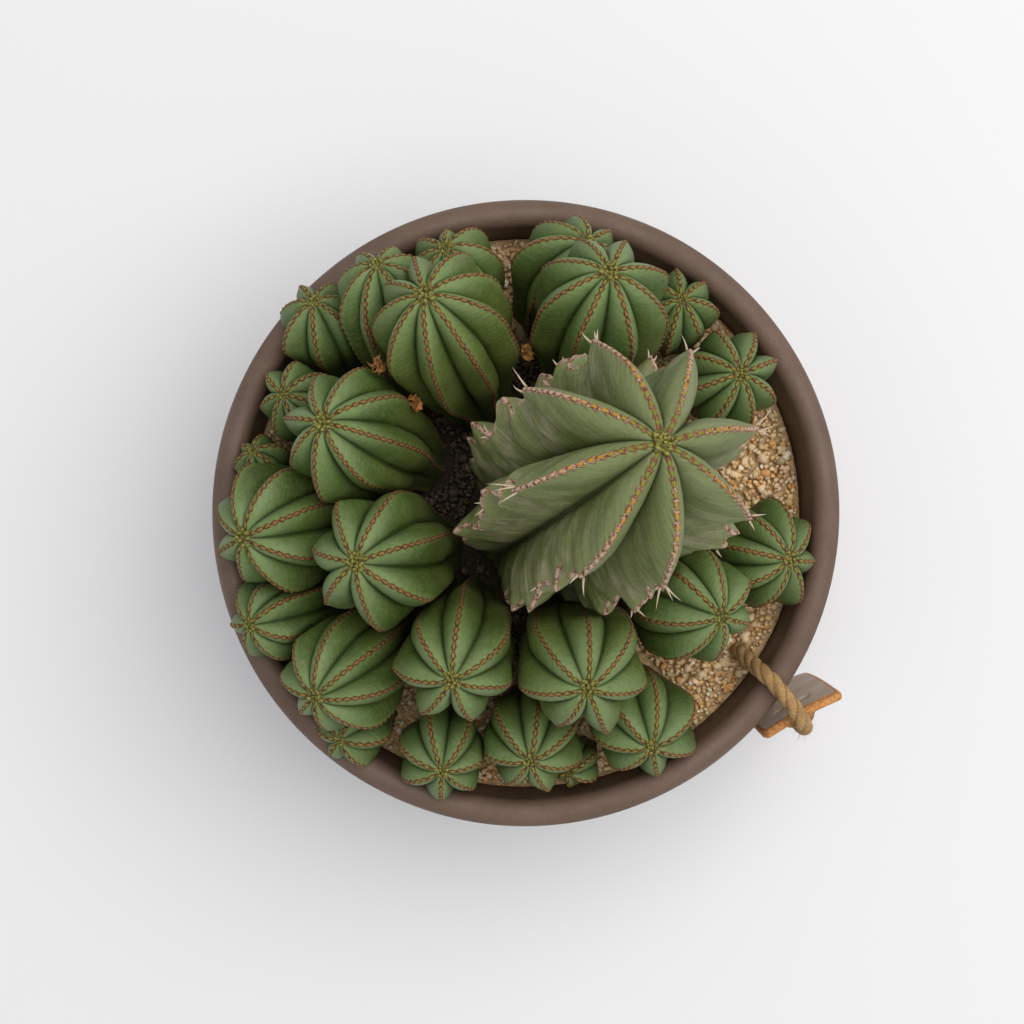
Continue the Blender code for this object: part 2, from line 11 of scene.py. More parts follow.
import bpy
import numpy as np
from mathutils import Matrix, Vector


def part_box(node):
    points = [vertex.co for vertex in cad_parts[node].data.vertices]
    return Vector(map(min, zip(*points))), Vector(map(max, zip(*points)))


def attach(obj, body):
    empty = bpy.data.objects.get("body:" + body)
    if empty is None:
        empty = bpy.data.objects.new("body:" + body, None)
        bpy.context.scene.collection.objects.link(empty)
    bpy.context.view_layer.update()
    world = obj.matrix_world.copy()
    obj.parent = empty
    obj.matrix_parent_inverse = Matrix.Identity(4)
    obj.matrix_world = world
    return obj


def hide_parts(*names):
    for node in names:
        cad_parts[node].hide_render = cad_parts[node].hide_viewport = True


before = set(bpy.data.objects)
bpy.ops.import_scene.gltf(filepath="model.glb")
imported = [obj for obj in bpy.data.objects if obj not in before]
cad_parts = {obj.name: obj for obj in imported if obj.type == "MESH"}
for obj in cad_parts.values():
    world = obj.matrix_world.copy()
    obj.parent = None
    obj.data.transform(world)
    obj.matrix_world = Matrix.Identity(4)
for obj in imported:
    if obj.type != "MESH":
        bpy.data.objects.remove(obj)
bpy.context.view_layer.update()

# %% [markdown]
# The camera looks straight down on the plant, as a person at a table would hold a phone over it. A long
# lens well above the rim keeps the stems from spreading too much, and the frame's top is the bowl's far
# side.

# %% Camera
pot_low, pot_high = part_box("pot")
RIM_RADIUS = pot_high.x
POT_HEIGHT = pot_high.z
CAMERA_OVER_RIM = 0.575
CAMERA_SIDE = (-0.0037, 0.0003)
LENS = 50
SENSOR = 24

scene = bpy.context.scene
camera_data = bpy.data.cameras.new("camera")
camera_data.lens = LENS
camera_data.sensor_width = SENSOR
camera_data.clip_start = 0.01
camera = bpy.data.objects.new("camera", camera_data)
camera.location = (*CAMERA_SIDE, POT_HEIGHT + CAMERA_OVER_RIM)
scene.collection.objects.link(camera)
scene.camera = camera
print("the rim is", round(2000 * RIM_RADIUS), "mm across, and the camera is", camera.location.z, "m up")

# %% [markdown]
# The light is a big soft box hung above the plant, a little to the right, in a pale room. One large area
# light is the box and the world's even grey is the room, so shadows on the floor are faint and deep gaps
# stay dark.

# %% Light and floor
def area_light(name, place, aim, size, power, colour):
    """A square light at a place in metres, turned to face the point that it aims at."""
    data = bpy.data.lights.new(name, "AREA")
    data.size = size
    data.energy = power
    data.color = colour
    lamp = bpy.data.objects.new(name, data)
    away = np.array(place, float) - np.array(aim, float)
    flat = math.hypot(away[0], away[1])
    lamp.location = place
    lamp.rotation_euler = (math.atan2(flat, away[2]), 0, math.atan2(away[1], away[0]) + math.pi / 2)
    scene.collection.objects.link(lamp)
    return lamp


area_light("soft_box", (0.40, 0.22, 1.25), (0, 0, 0.1), 1.2, 13.5, (1.0, 0.98, 0.95))
world = bpy.data.worlds.new("room")
world.use_nodes = True
world.node_tree.nodes["Background"].inputs["Color"].default_value = (0.93, 0.95, 1.0, 1)
world.node_tree.nodes["Background"].inputs["Strength"].default_value = 0.55
scene.world = world
scene.view_settings.view_transform = "Standard"

# %% [markdown]
# Almost every surface here is a grid of points worked out in one go, so one helper turns such a grid into
# a mesh. A grid that runs round a stem is closed by joining its last column to its first, and each end by
# one point.

# %% Grids of points become meshes
def mesh_piece(name, points, quads, triangles=None, uv=None, values=None, smooth=True):
    """An object made of arrays: points x 3, quads x 4, triangles x 3. uv has one pair for each corner of
    each face, quads first. values holds named numbers or colours, one for each point."""
    triangles = np.zeros((0, 3), int) if triangles is None else triangles
    corners = np.concatenate([quads.ravel(), triangles.ravel()]).astype(np.int32)
    starts = np.concatenate([np.arange(len(quads)) * 4, 4 * len(quads) + np.arange(len(triangles)) * 3])
    mesh = bpy.data.meshes.new(name)
    mesh.vertices.add(len(points))
    mesh.vertices.foreach_set("co", np.ascontiguousarray(points, np.float32).ravel())
    mesh.loops.add(len(corners))
    mesh.loops.foreach_set("vertex_index", corners)
    mesh.polygons.add(len(starts))
    mesh.polygons.foreach_set("loop_start", starts.astype(np.int32))
    mesh.update(calc_edges=True)
    if uv is not None:
        layer = mesh.uv_layers.new(name="surface")
        layer.data.foreach_set("uv", np.ascontiguousarray(uv, np.float32).ravel())
    for label, numbers in (values or {}).items():
        numbers = np.asarray(numbers, np.float32)
        if numbers.ndim == 1:
            mesh.attributes.new(label, "FLOAT", "POINT").data.foreach_set("value", numbers)
        else:
            mesh.attributes.new(label, "FLOAT_COLOR", "POINT").data.foreach_set("color", numbers.ravel())
    if smooth:
        mesh.shade_smooth()
    item = bpy.data.objects.new(name, mesh)
    scene.collection.objects.link(item)
    return item


def ring_faces(rows, columns):
    """The quads of a grid that is closed round its rows, and the fans that close its first and last rows.
    The first row's middle point comes after the grid, and the last row's after that. Rows run up and
    columns run counterclockwise as seen from above, so that the faces point outwards."""
    place = np.arange(rows * columns).reshape(rows, columns)
    beside = np.roll(place, -1, axis=1)
    quads = np.stack([place[:-1], beside[:-1], beside[1:], place[1:]], axis=-1).reshape(-1, 4)
    start = np.full(columns, rows * columns)
    low = np.stack([beside[0], place[0], start], axis=-1)
    high = np.stack([place[-1], beside[-1], start + 1], axis=-1)
    return quads, np.concatenate([low, high])


def unit(vectors):
    """The same directions, one metre long."""
    return vectors / np.maximum(np.linalg.norm(vectors, axis=-1, keepdims=True), 1e-12)


def smooth(values, low, high):
    """0 below low, 1 above high, and an S curve between them."""
    share = np.clip((values - low) / (high - low), 0, 1)
    return share * share * (3 - 2 * share)


def settled(item):
    """The object with its modifiers worked into its mesh."""
    graph = bpy.context.evaluated_depsgraph_get()
    mesh = bpy.data.meshes.new_from_object(item.evaluated_get(graph))
    old = item.data
    item.modifiers.clear()
    item.data = mesh
    bpy.data.meshes.remove(old)
    return item


def triangles_in(item):
    """How many triangles an object's mesh comes to."""
    item.data.calc_loop_triangles()
    return len(item.data.loop_triangles)


# %% Floor
FLOOR_REACH = 9
floor_corners = FLOOR_REACH * np.array([[-1, -1, 0], [1, -1, 0], [1, 1, 0], [-1, 1, 0]])
floor = mesh_piece("floor", floor_corners, np.array([[0, 1, 2, 3]]))

# %% [markdown]
# Materials are node trees. A short helper adds a node, sets its options and joins its inputs: a socket is
# linked, and a plain number or colour is set on the input itself.

# %% Nodes
def add(tree, kind, inputs=None, **options):
    """A node of a kind, with its inputs linked or set, and its options set."""
    made = tree.nodes.new(kind)
    for label, value in options.items():
        setattr(made, label, value)
    for label, value in (inputs or {}).items():
        if isinstance(value, bpy.types.NodeSocket):
            tree.links.new(value, made.inputs[label])
        else:
            made.inputs[label].default_value = value
    return made


def maths(tree, operation, first, second=0.0, clamp=False):
    """One operation on two numbers."""
    made = add(tree, "ShaderNodeMath", {0: first, 1: second}, operation=operation, use_clamp=clamp)
    return made.outputs[0]


def times(tree, first, second):
    """The product of two numbers."""
    return maths(tree, "MULTIPLY", first, second)


def plus(tree, first, second):
    """The sum of two numbers."""
    return maths(tree, "ADD", first, second)


def attribute(tree, name, output="Fac"):
    """Numbers or colours that a mesh holds for its points."""
    return add(tree, "ShaderNodeAttribute", attribute_name=name).outputs[output]


def height_in(tree, place):
    """The third part of a place: how high it is."""
    return add(tree, "ShaderNodeSeparateXYZ", {"Vector": place}).outputs["Z"]


def ramp(tree, value, low, high, start=0.0, end=1.0):
    """A smooth step from start to end while the value goes from low to high."""
    limits = {"Value": value, "From Min": low, "From Max": high}
    made = add(tree, "ShaderNodeMapRange", limits, interpolation_type="SMOOTHSTEP")
    made.inputs["To Min"].default_value = start
    made.inputs["To Max"].default_value = end
    return made.outputs["Result"]


def blend(tree, share, first, second):
    """A colour between two colours."""
    made = add(tree, "ShaderNodeMix", data_type="RGBA", blend_type="MIX")
    for place, value in ((0, share), (6, first), (7, second)):
        if isinstance(value, bpy.types.NodeSocket):
            tree.links.new(value, made.inputs[place])
        elif place == 0:
            made.inputs[0].default_value = value
        else:
            made.inputs[place].default_value = (*value, 1)
    return made.outputs[2]


def noise(tree, vector, scale, detail=2.0, roughness=0.5):
    """Soft random numbers from 0 to 1."""
    made = add(tree, "ShaderNodeTexNoise", {"Vector": vector, "Scale": scale, "Detail": detail})
    made.inputs["Roughness"].default_value = roughness
    return made.outputs["Fac"]


def stretched(tree, vector, x, y, z):
    """A vector with each of its parts multiplied."""
    return add(tree, "ShaderNodeVectorMath", {0: vector, 1: (x, y, z)}, operation="MULTIPLY").outputs[0]


def group(name, inputs, outputs):
    """An empty shader group with named inputs, as (name, kind, value), and named outputs, as (name,
    kind)."""
    made = bpy.data.node_groups.new(name, "ShaderNodeTree")
    for label, kind, value in inputs:
        socket = made.interface.new_socket(name=label, in_out="INPUT", socket_type=kind)
        if value is not None:
            socket.default_value = value
    for label, kind in outputs:
        made.interface.new_socket(name=label, in_out="OUTPUT", socket_type=kind)
    source = made.nodes.new("NodeGroupInput")
    sink = made.nodes.new("NodeGroupOutput")
    return made, source.outputs, sink.inputs


def use(tree, shared, inputs):
    """A shader group placed in a material."""
    return add(tree, "ShaderNodeGroup", inputs, node_tree=shared).outputs


def material(name, roughness=0.8):
    """A new material: its node tree and its Principled shader."""
    made = bpy.data.materials.new(name)
    made.use_nodes = True
    shader = made.node_tree.nodes["Principled BSDF"]
    shader.inputs["Roughness"].default_value = roughness
    shader.inputs["Metallic"].default_value = 0
    return made, made.node_tree, shader


def join(tree, shader, colour=None, height=None, depth=0.0002, strength=1.0, roughness=None):
    """Feeds a shader: its colour, its roughness, and a bump of a depth in metres."""
    if colour is not None:
        tree.links.new(colour, shader.inputs["Base Color"])
    if roughness is not None:
        tree.links.new(roughness, shader.inputs["Roughness"])
    if height is not None:
        bump = add(tree, "ShaderNodeBump", {"Height": height, "Distance": depth, "Strength": strength})
        tree.links.new(bump.outputs["Normal"], shader.inputs["Normal"])


def dress(item, finish, slot, *nodes):
    """Gives a piece its material, and lets it ride on the one body in place of the nodes named. slot is not
    used.
    """
    item.data.materials.clear()
    item.data.materials.append(finish)
    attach(item, "root")
    if nodes:
        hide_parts(*nodes)


floor_finish, floor_tree, floor_shader = material("pale_floor", 0.9)
floor_shader.inputs["Base Color"].default_value = (0.84, 0.84, 0.84, 1)
floor.data.materials.append(floor_finish)

# %% [markdown]
# Fired clay, grit, leather and jute all have blotches of two tones with finer flecks over them. That is
# one effect, so it is one shader group: two colours, mixed by a broad noise and a fine one, and a height
# for a bump.

# %% Mottled surface, a shared effect
def mottle_group():
    """Mixes two colours by a broad noise, adds flecks of a third, and gives the fine noise as a height."""
    made, given, out = group(
        "mottle",
        [
            ("Vector", "NodeSocketVector", None),
            ("Broad", "NodeSocketFloat", 40.0),
            ("Fine", "NodeSocketFloat", 900.0),
            ("First", "NodeSocketColor", (0.5, 0.5, 0.5, 1)),
            ("Second", "NodeSocketColor", (0.3, 0.3, 0.3, 1)),
            ("Fleck", "NodeSocketColor", (0.1, 0.1, 0.1, 1)),
            ("Flecks", "NodeSocketFloat", 0.5),
        ],
        [("Colour", "NodeSocketColor"), ("Height", "NodeSocketFloat")],
    )
    broad = noise(made, given["Vector"], given["Broad"], 4)
    fine = noise(made, given["Vector"], given["Fine"], 2, 0.6)
    base = add(made, "ShaderNodeMix", data_type="RGBA")
    made.links.new(ramp(made, broad, 0.35, 0.65), base.inputs[0])
    made.links.new(given["First"], base.inputs[6])
    made.links.new(given["Second"], base.inputs[7])
    flecked = add(made, "ShaderNodeMix", data_type="RGBA")
    made.links.new(times(made, ramp(made, fine, 0.56, 0.66), given["Flecks"]), flecked.inputs[0])
    made.links.new(base.outputs[2], flecked.inputs[6])
    made.links.new(given["Fleck"], flecked.inputs[7])
    made.links.new(flecked.outputs[2], out["Colour"])
    made.links.new(fine, out["Height"])
    return made


MOTTLE = mottle_group()


def object_place(tree):
    """The point on the surface, in metres."""
    return add(tree, "ShaderNodeTexCoord").outputs["Object"]


# %% [markdown]
# The twine comes first, because it is the one free cord. It is three jute strands twisted together, 4.5
# mm thick. It could be three swept tubes, but one tube whose section has three lobes, turned as it goes
# along, reads the same and stays one closed surface.

# %% Twine
TWINE_DIAMETER = 0.0045
TWINE_LAY = 0.0135
TWINE_ROUTE = np.array([
    (0.0587, -0.0378, -0.0215),
    (0.0587, -0.0378, -0.0175),
    (0.0588, -0.0379, -0.0130),
    (0.0597, -0.0389, -0.0085),
    (0.0616, -0.0408, -0.0037),
    (0.0636, -0.0428, 0.0012),
    (0.0660, -0.0450, 0.0031),
    (0.0685, -0.0480, 0.0035),
    (0.0712, -0.0512, 0.0030),
    (0.0737, -0.0546, 0.0016),
    (0.0752, -0.0573, -0.0010),
    (0.0758, -0.0583, -0.0055),
    (0.0758, -0.0583, -0.0105),
    (0.0757, -0.0581, -0.0155),
]) + [0, 0, POT_HEIGHT]


def smooth_route(route, step):
    """Points a step apart on the Catmull-Rom curve through a route: each stretch is a cubic that leaves and
    meets its ends in the direction of their neighbours."""
    ends = np.vstack([2 * route[0] - route[1], route, 2 * route[-1] - route[-2]])
    t = np.linspace(0, 1, 16, endpoint=False)[None, :, None]
    a, b, c, d = (ends[i : len(ends) - 3 + i, None, :] for i in range(4))
    bend = (2 * a - 5 * b + 4 * c - d) * t**2
    twist = (3 * b - a - 3 * c + d) * t**3
    fine = np.vstack([((2 * b + (c - a) * t + bend + twist) / 2).reshape(-1, 3), route[-1:]])
    along = np.concatenate([[0], np.cumsum(np.linalg.norm(np.diff(fine, axis=0), axis=1))])
    wanted = np.linspace(0, along[-1], max(int(along[-1] / step), 3) + 1)
    return np.column_stack([np.interp(wanted, along, fine[:, i]) for i in range(3)])


def rope(name, path, radius, lay, beside, columns=36):
    """A tube round a path whose section is three lobes, radius x (0.78 + 0.22 |cos|^0.8), turned once in
    each lay. beside is a direction that the path never takes."""
    ahead = unit(np.gradient(path, axis=0))
    across = unit(np.cross(ahead, beside))
    over = np.cross(ahead, across)
    along = np.concatenate([[0], np.cumsum(np.linalg.norm(np.diff(path, axis=0), axis=1))])
    angle = np.linspace(0, 2 * np.pi, columns, endpoint=False)[None, :]
    strand = 1.5 * (angle - 2 * np.pi * along[:, None] / lay)
    size = radius * (0.78 + 0.22 * np.abs(np.cos(strand)) ** 0.8)
    out = np.cos(angle)[..., None] * across[:, None, :] + np.sin(angle)[..., None] * over[:, None, :]
    points = (path[:, None, :] + out * size[..., None]).reshape(-1, 3)
    quads, fans = ring_faces(len(path), columns)
    strand_share = np.append(np.abs(np.cos(strand)).ravel(), [1, 1])
    along_each = np.append(np.repeat(along, columns), [0, along[-1]])
    values = {"strand": strand_share, "along": along_each}
    points = np.vstack([points, path[0], path[-1]])
    return mesh_piece(name, points, quads, fans, values=values), float(along[-1])


BESIDE_TWINE = np.array([0.77, 0.64, 0.0])
twine_path = smooth_route(TWINE_ROUTE, 0.0006)
twine, twine_length = rope("twine_rope", twine_path, TWINE_DIAMETER / 2, TWINE_LAY, BESIDE_TWINE)
print("the twine is", round(1000 * twine_length, 1), "mm long, in", triangles_in(twine), "triangles")

# %% Twine's finish
def jute_finish():
    """Golden fibres: fine streaks that follow the strands, with painted shade in the grooves between them."""
    made, tree, shader = material("jute", 0.9)
    place = object_place(tree)
    strand = attribute(tree, "strand")
    streaks = noise(tree, stretched(tree, place, 1, 1, 0.35), 2600, 3, 0.65)
    tone = use(tree, MOTTLE, {
        "Vector": place, "Broad": 260.0, "Fine": 2400.0, "Flecks": 0.6, "First": (0.42, 0.24, 0.085, 1),
        "Second": (0.28, 0.145, 0.042, 1), "Fleck": (0.62, 0.42, 0.20, 1),
    })
    # Painted shade: the grooves between the strands are blended towards a dark brown.
    shade = blend(tree, ramp(tree, strand, 0.0, 0.55, 0.75, 0.0), tone["Colour"], (0.10, 0.045, 0.014))
    colour = blend(tree, ramp(tree, streaks, 0.35, 0.7, 0.0, 0.40), shade, (0.62, 0.41, 0.20))
    join(tree, shader, colour, streaks, 0.0004, 0.9)
    return made


JUTE = jute_finish()
dress(twine, JUTE, "jute", "twine")

# %% [markdown]
# Real jute is hairy. A few hundred stray fibres are enough: each is a thin three-sided hair that leaves
# the twine near its surface and curls away. All of them are worked out together, as fibre x step x side
# arrays.

# %% Loose fibres
FIBRES = 260
FIBRE_STEPS = 6
FIBRE_SIDES = 3
FIBRE_RADIUS = 0.00006


def tapered(name, lines, aims, thick, sides, rng, values):
    """Closed hairs or cones in one mesh. lines holds count x steps middle points. Each ring lies square to
    its hair's aim, and thick, count x steps x 1 x 1, is its radius."""
    count, steps, _ = lines.shape
    side = unit(np.cross(aims, rng.normal(size=(count, 3))))
    other = np.cross(aims, side)
    turn = (np.arange(sides) * 2 * np.pi / sides)[None, :, None]
    ring = np.cos(turn) * side[:, None, :] + np.sin(turn) * other[:, None, :]
    points = (lines[:, :, None, :] + ring[:, None, :, :] * thick).reshape(count, -1, 3)
    quads, fans = ring_faces(steps, sides)
    shift = (np.arange(count) * (steps * sides + 2))[:, None, None]
    points = np.concatenate([points, lines[:, :1], lines[:, -1:]], axis=1).reshape(-1, 3)
    quads = (quads + shift).reshape(-1, 4)
    return mesh_piece(name, points, quads, (fans + shift).reshape(-1, 3), values=values)


def fibres(name, path, reach, count, longest, seed):
    """Hairs along a path. Each starts inside the twine, and its points are start + t x aim + t^2 x curl."""
    rng = np.random.default_rng(seed)
    first = rng.integers(3, len(path) - 3, count)
    start = path[first] + unit(rng.normal(size=(count, 3))) * reach * 0.75
    tangent = unit(path[np.minimum(first + 2, len(path) - 1)] - path[first])
    outward = unit(start - path[first])
    size = rng.uniform(0.35, 1, (count, 1)) * longest
    aim = unit(outward * rng.uniform(0.3, 1.0, (count, 1)) + tangent * rng.normal(0, 1.2, (count, 1))) * size
    curl = rng.normal(0, 0.45, (count, 3)) * size
    t = np.linspace(0, 1, FIBRE_STEPS)[None, :, None]
    spine = start[:, None, :] + aim[:, None, :] * t + curl[:, None, :] * t**2
    thick = FIBRE_RADIUS * (1.05 - t[..., None])
    points_in_all = count * (FIBRE_STEPS * FIBRE_SIDES + 2)
    values = {"strand": np.ones(points_in_all), "along": np.zeros(points_in_all)}
    return tapered(name, spine, unit(aim), thick, FIBRE_SIDES, rng, values)


twine_fibres = fibres("twine_fibres", twine_path, TWINE_DIAMETER / 2, FIBRES, 0.0030, 11)
dress(twine_fibres, JUTE, "jute")
print(FIBRES, "fibres in", triangles_in(twine_fibres), "triangles")

# %% [markdown]
# The tag is a strip of thick leather with a raw cut edge. Its outline is seen from the tag's middle as a
# distance in each direction, and the surface shrinks that outline to a point on each face, so both faces
# and the rounded edge are one closed grid. The two holes are then cut.

# %% Tag
TAG_BEARING = math.radians(-35.7)
TAG_TURN = math.radians(28.3)
TAG_OUT = 0.0072
TAG_DROP = 0.0026
TAG_WIDTH = 0.0246
TAG_HEIGHT = 0.068
TAG_THICKNESS = 0.0025
TAG_ARCH = 0.0022  # how much the top edge rises in its middle
TAG_CURL = 0.0011  # how far the long edges curl away from the pot
TAG_SAG = 0.0006
TAG_CORNER = 0.0025
TAG_HOLE_RADIUS = 0.0018
TAG_HOLE_SPACING = 0.0078
TAG_HOLE_DROP = 0.0160
TAG_ALONG = np.array([math.cos(TAG_TURN), math.sin(TAG_TURN), 0])
TAG_AWAY = np.array([math.sin(TAG_TURN), -math.cos(TAG_TURN), 0])
TAG_TOP = np.array([
    (RIM_RADIUS + TAG_OUT) * math.cos(TAG_BEARING),
    (RIM_RADIUS + TAG_OUT) * math.sin(TAG_BEARING),
    POT_HEIGHT - TAG_DROP,
])


def on_tag(across, outward, up):
    """Points counted from the middle of the tag's top edge: along the edge, away from the pot, and up."""
    place = np.stack(np.broadcast_arrays(across, outward, up), axis=-1)
    return TAG_TOP + place @ np.array([TAG_ALONG, TAG_AWAY, [0, 0, 1]])


def tag_surface(columns=160):
    """Rounded-box distance in each direction from the tag's middle, times a share that goes 0, 1, 0 from
    one face over the edge to the other. The edge is a half ellipse, and the top edge arches as
    1 - across^2."""
    angle = np.linspace(0, 2 * np.pi, columns, endpoint=False)
    half_wide = TAG_WIDTH / 2
    half_tall = TAG_HEIGHT / 2
    flat = 1 / np.maximum(np.abs(np.cos(angle)) / half_wide, np.abs(np.sin(angle)) / half_tall)
    x = flat * np.cos(angle)
    z = flat * np.sin(angle)
    over_x = np.maximum(np.abs(x) - (half_wide - TAG_CORNER), 0)
    over_z = np.maximum(np.abs(z) - (half_tall - TAG_CORNER), 0)
    excess = np.hypot(over_x, over_z)
    pull = np.where(excess > TAG_CORNER, TAG_CORNER / np.maximum(excess, 1e-9), 1)
    x = np.sign(x) * (np.minimum(np.abs(x), half_wide - TAG_CORNER) + over_x * pull)
    z = np.sign(z) * (np.minimum(np.abs(z), half_tall - TAG_CORNER) + over_z * pull)
    turn = np.concatenate([np.linspace(-1, -0.04, 9), np.linspace(0, 1, 9), 1.04 + np.linspace(0, 0.96, 9)])
    inward = np.where(turn < 0, -turn, np.where(turn > 1, turn - 1, 0))
    edge = np.clip(turn, 0, 1) * np.pi
    round_off = TAG_THICKNESS * 0.42 * (1 - np.sin(edge))
    size = 1 - inward
    thick = -np.cos(edge) * TAG_THICKNESS / 2
    shrink_x = (np.abs(x).max() - round_off[:, None]) / np.abs(x).max()
    shrink_z = (np.abs(z).max() - round_off[:, None]) / np.abs(z).max()
    px = size[:, None] * shrink_x * x[None, :]
    pz = size[:, None] * shrink_z * z[None, :]
    arch = -TAG_ARCH * (px / half_wide) ** 2 * smooth(pz, 0, half_tall)
    curl = TAG_CURL * (px / half_wide) ** 2
    curl = curl - TAG_SAG * np.sin(np.pi * (pz + half_tall) / TAG_HEIGHT * 1.3)
    points = on_tag(px, thick[:, None] + curl, pz + arch - half_tall)
    raw_edge = np.broadcast_to(((turn >= 0) & (turn <= 1))[:, None], px.shape)
    return points, raw_edge.astype(float)


def cut(item, cutters):
    """The piece with the cutters taken out of it."""
    for cutter in cutters:
        change = item.modifiers.new("cut", "BOOLEAN")
        change.operation = "DIFFERENCE"
        change.solver = "EXACT"
        change.object = cutter
    settled(item)
    for cutter in cutters:
        bpy.data.objects.remove(cutter, do_unlink=True)
    return item


PEG_TURN = 0.3  # in sides: keeps a peg's corners off the edges of the piece it cuts


def peg(name, low, high, radius, sides=24):
    """A closed round peg from one point to another."""
    ahead = unit(np.asarray(high) - np.asarray(low))
    helper = np.array([0, 0, 1.0]) if abs(ahead[2]) < 0.9 else np.array([1.0, 0, 0])
    across = unit(np.cross(helper, ahead))
    over = np.cross(ahead, across)
    angle = (np.arange(sides) + PEG_TURN)[:, None] * 2 * np.pi / sides
    ring = radius * (np.cos(angle) * across + np.sin(angle) * over)
    quads, fans = ring_faces(2, sides)
    return mesh_piece(name, np.vstack([low + ring, high + ring, low, high]), quads, fans, smooth=False)


tag_points, tag_edge = tag_surface()
tag_rows, tag_columns = tag_edge.shape
tag_quads, tag_fans = ring_faces(tag_rows, tag_columns)
tag_ends = np.stack([tag_points[0].mean(axis=0), tag_points[-1].mean(axis=0)])
tag = mesh_piece(
    "leather_tag", np.vstack([tag_points.reshape(-1, 3), tag_ends]), tag_quads, tag_fans,
    values={"edge": np.append(tag_edge.ravel(), [0, 0])},
)
PEG_REACH = 0.006
hole_pegs = []
for side in (-1, 1):
    hole_across = side * TAG_HOLE_SPACING / 2
    inner, outer = (on_tag(hole_across, reach, -TAG_HOLE_DROP) for reach in (-PEG_REACH, PEG_REACH))
    hole_pegs.append(peg("hole", inner, outer, TAG_HOLE_RADIUS))
cut(tag, hole_pegs)
print("the tag is", triangles_in(tag), "triangles")

# %% Leather
def leather_finish():
    """Grey-brown leather with a pebbled grain, and orange fibres where the edge is cut."""
    made, tree, shader = material("leather", 0.72)
    place = object_place(tree)
    edge = attribute(tree, "edge")
    grain = add(tree, "ShaderNodeTexVoronoi", {"Vector": place, "Scale": 1400.0}, feature="DISTANCE_TO_EDGE")
    tone = use(tree, MOTTLE, {
        "Vector": place, "Broad": 90.0, "Fine": 1500.0, "Flecks": 0.35, "First": (0.66, 0.52, 0.40, 1),
        "Second": (0.54, 0.41, 0.30, 1), "Fleck": (0.34, 0.25, 0.18, 1),
    })
    fibre = ramp(tree, noise(tree, place, 1100, 3), 0.35, 0.65)
    cut_fibres = blend(tree, fibre, (0.64, 0.29, 0.09), (0.42, 0.16, 0.04))
    colour = blend(tree, ramp(tree, edge, 0.25, 0.8), tone["Colour"], cut_fibres)
    height = ramp(tree, grain.outputs["Distance"], 0.0, 0.25)
    join(tree, shader, colour, height, 0.00012, 0.6, ramp(tree, tone["Height"], 0.3, 0.7, 0.62, 0.85))
    return made


LEATHER = leather_finish()
dress(tag, LEATHER, "leather", "tag")

# %% [markdown]
# On the tag's outer face the twine is knotted through the two holes. A short rope comes out of one hole,
# crosses to the other and goes back in, and a second turn is wrapped round its middle.

# %% Knot
KNOT_RADIUS = 0.0016
KNOT_LAY = 0.009
WRAP_RADIUS = 0.0009
WRAP_LAY = 0.006
WRAP_TURNS = 1.6
WRAP_REACH = 0.0023  # from the knot's middle line to the wrap's
hole = TAG_HOLE_SPACING / 2
knot_across = np.array([-hole, -hole, -0.6 * hole, 0, 0.6 * hole, hole, hole])
knot_out = np.array([-0.0004, 0.0016, 0.0036, 0.0042, 0.0036, 0.0016, -0.0004]) + KNOT_RADIUS / 4
knot_up = np.array([0, 0, 0.0004, 0.0006, 0.0004, 0, 0]) - TAG_HOLE_DROP
knot_path = smooth_route(on_tag(knot_across, knot_out, knot_up), 0.0005)
knot, _ = rope("knot_rope", knot_path, KNOT_RADIUS, KNOT_LAY, np.array([0, 0, 1.0]), 30)
turns = np.linspace(0, 2 * np.pi * WRAP_TURNS, 40)
wrap_across = -0.0012 + 0.0024 * turns / turns[-1]
wrap_out = 0.0044 + WRAP_REACH * np.cos(turns) - 0.0004
wrap_up = -TAG_HOLE_DROP + 0.0005 + WRAP_REACH * np.sin(turns)
wrap, _ = rope("knot_wrap", on_tag(wrap_across, wrap_out, wrap_up), WRAP_RADIUS, WRAP_LAY, TAG_ALONG, 24)
dress(knot, JUTE, "jute", "twine_knot")
dress(wrap, JUTE, "jute")

# %% [markdown]
# The bowl is thrown stoneware: a straight flare swollen a little by half a sine wave, a lip that is a
# half round, and the faint rings that a potter's fingers leave. A profile turned about the axis gives all
# of it as one grid, and the three drain holes are cut afterwards.

# %% Bowl
WALL = 0.0076
FLOOR = 0.009
BASE_RADIUS = 0.058
WALL_BULGE = 0.006
FOOT_CHAMFER = 0.002
DRAIN_RADIUS = 0.0045
DRAIN_CIRCLE_RADIUS = 0.028
LIP_RADIUS = WALL / 2
LIP_OUT = RIM_RADIUS - LIP_RADIUS
LIP_UP = POT_HEIGHT - LIP_RADIUS
RING_PITCH = 0.0062
RING_DEPTH = 0.00012
HUB_RADIUS = 0.004
OFF_ROUND = ((2, 0.0009, 0.7), (3, 0.0006, 2.1), (7, 0.0004, 0.0))  # waves in a round, height, turn


def outside_radius(height):
    """The bowl's outer radius: a straight line from base to lip, swollen by half a sine wave."""
    share = np.clip(height / LIP_UP, 0, 1)
    return BASE_RADIUS + (RIM_RADIUS - BASE_RADIUS) * share + WALL_BULGE * np.sin(np.pi * share)


def inside_radius(height):
    """The bowl's inner radius, one wall less than the outer."""
    return outside_radius(height) - WALL


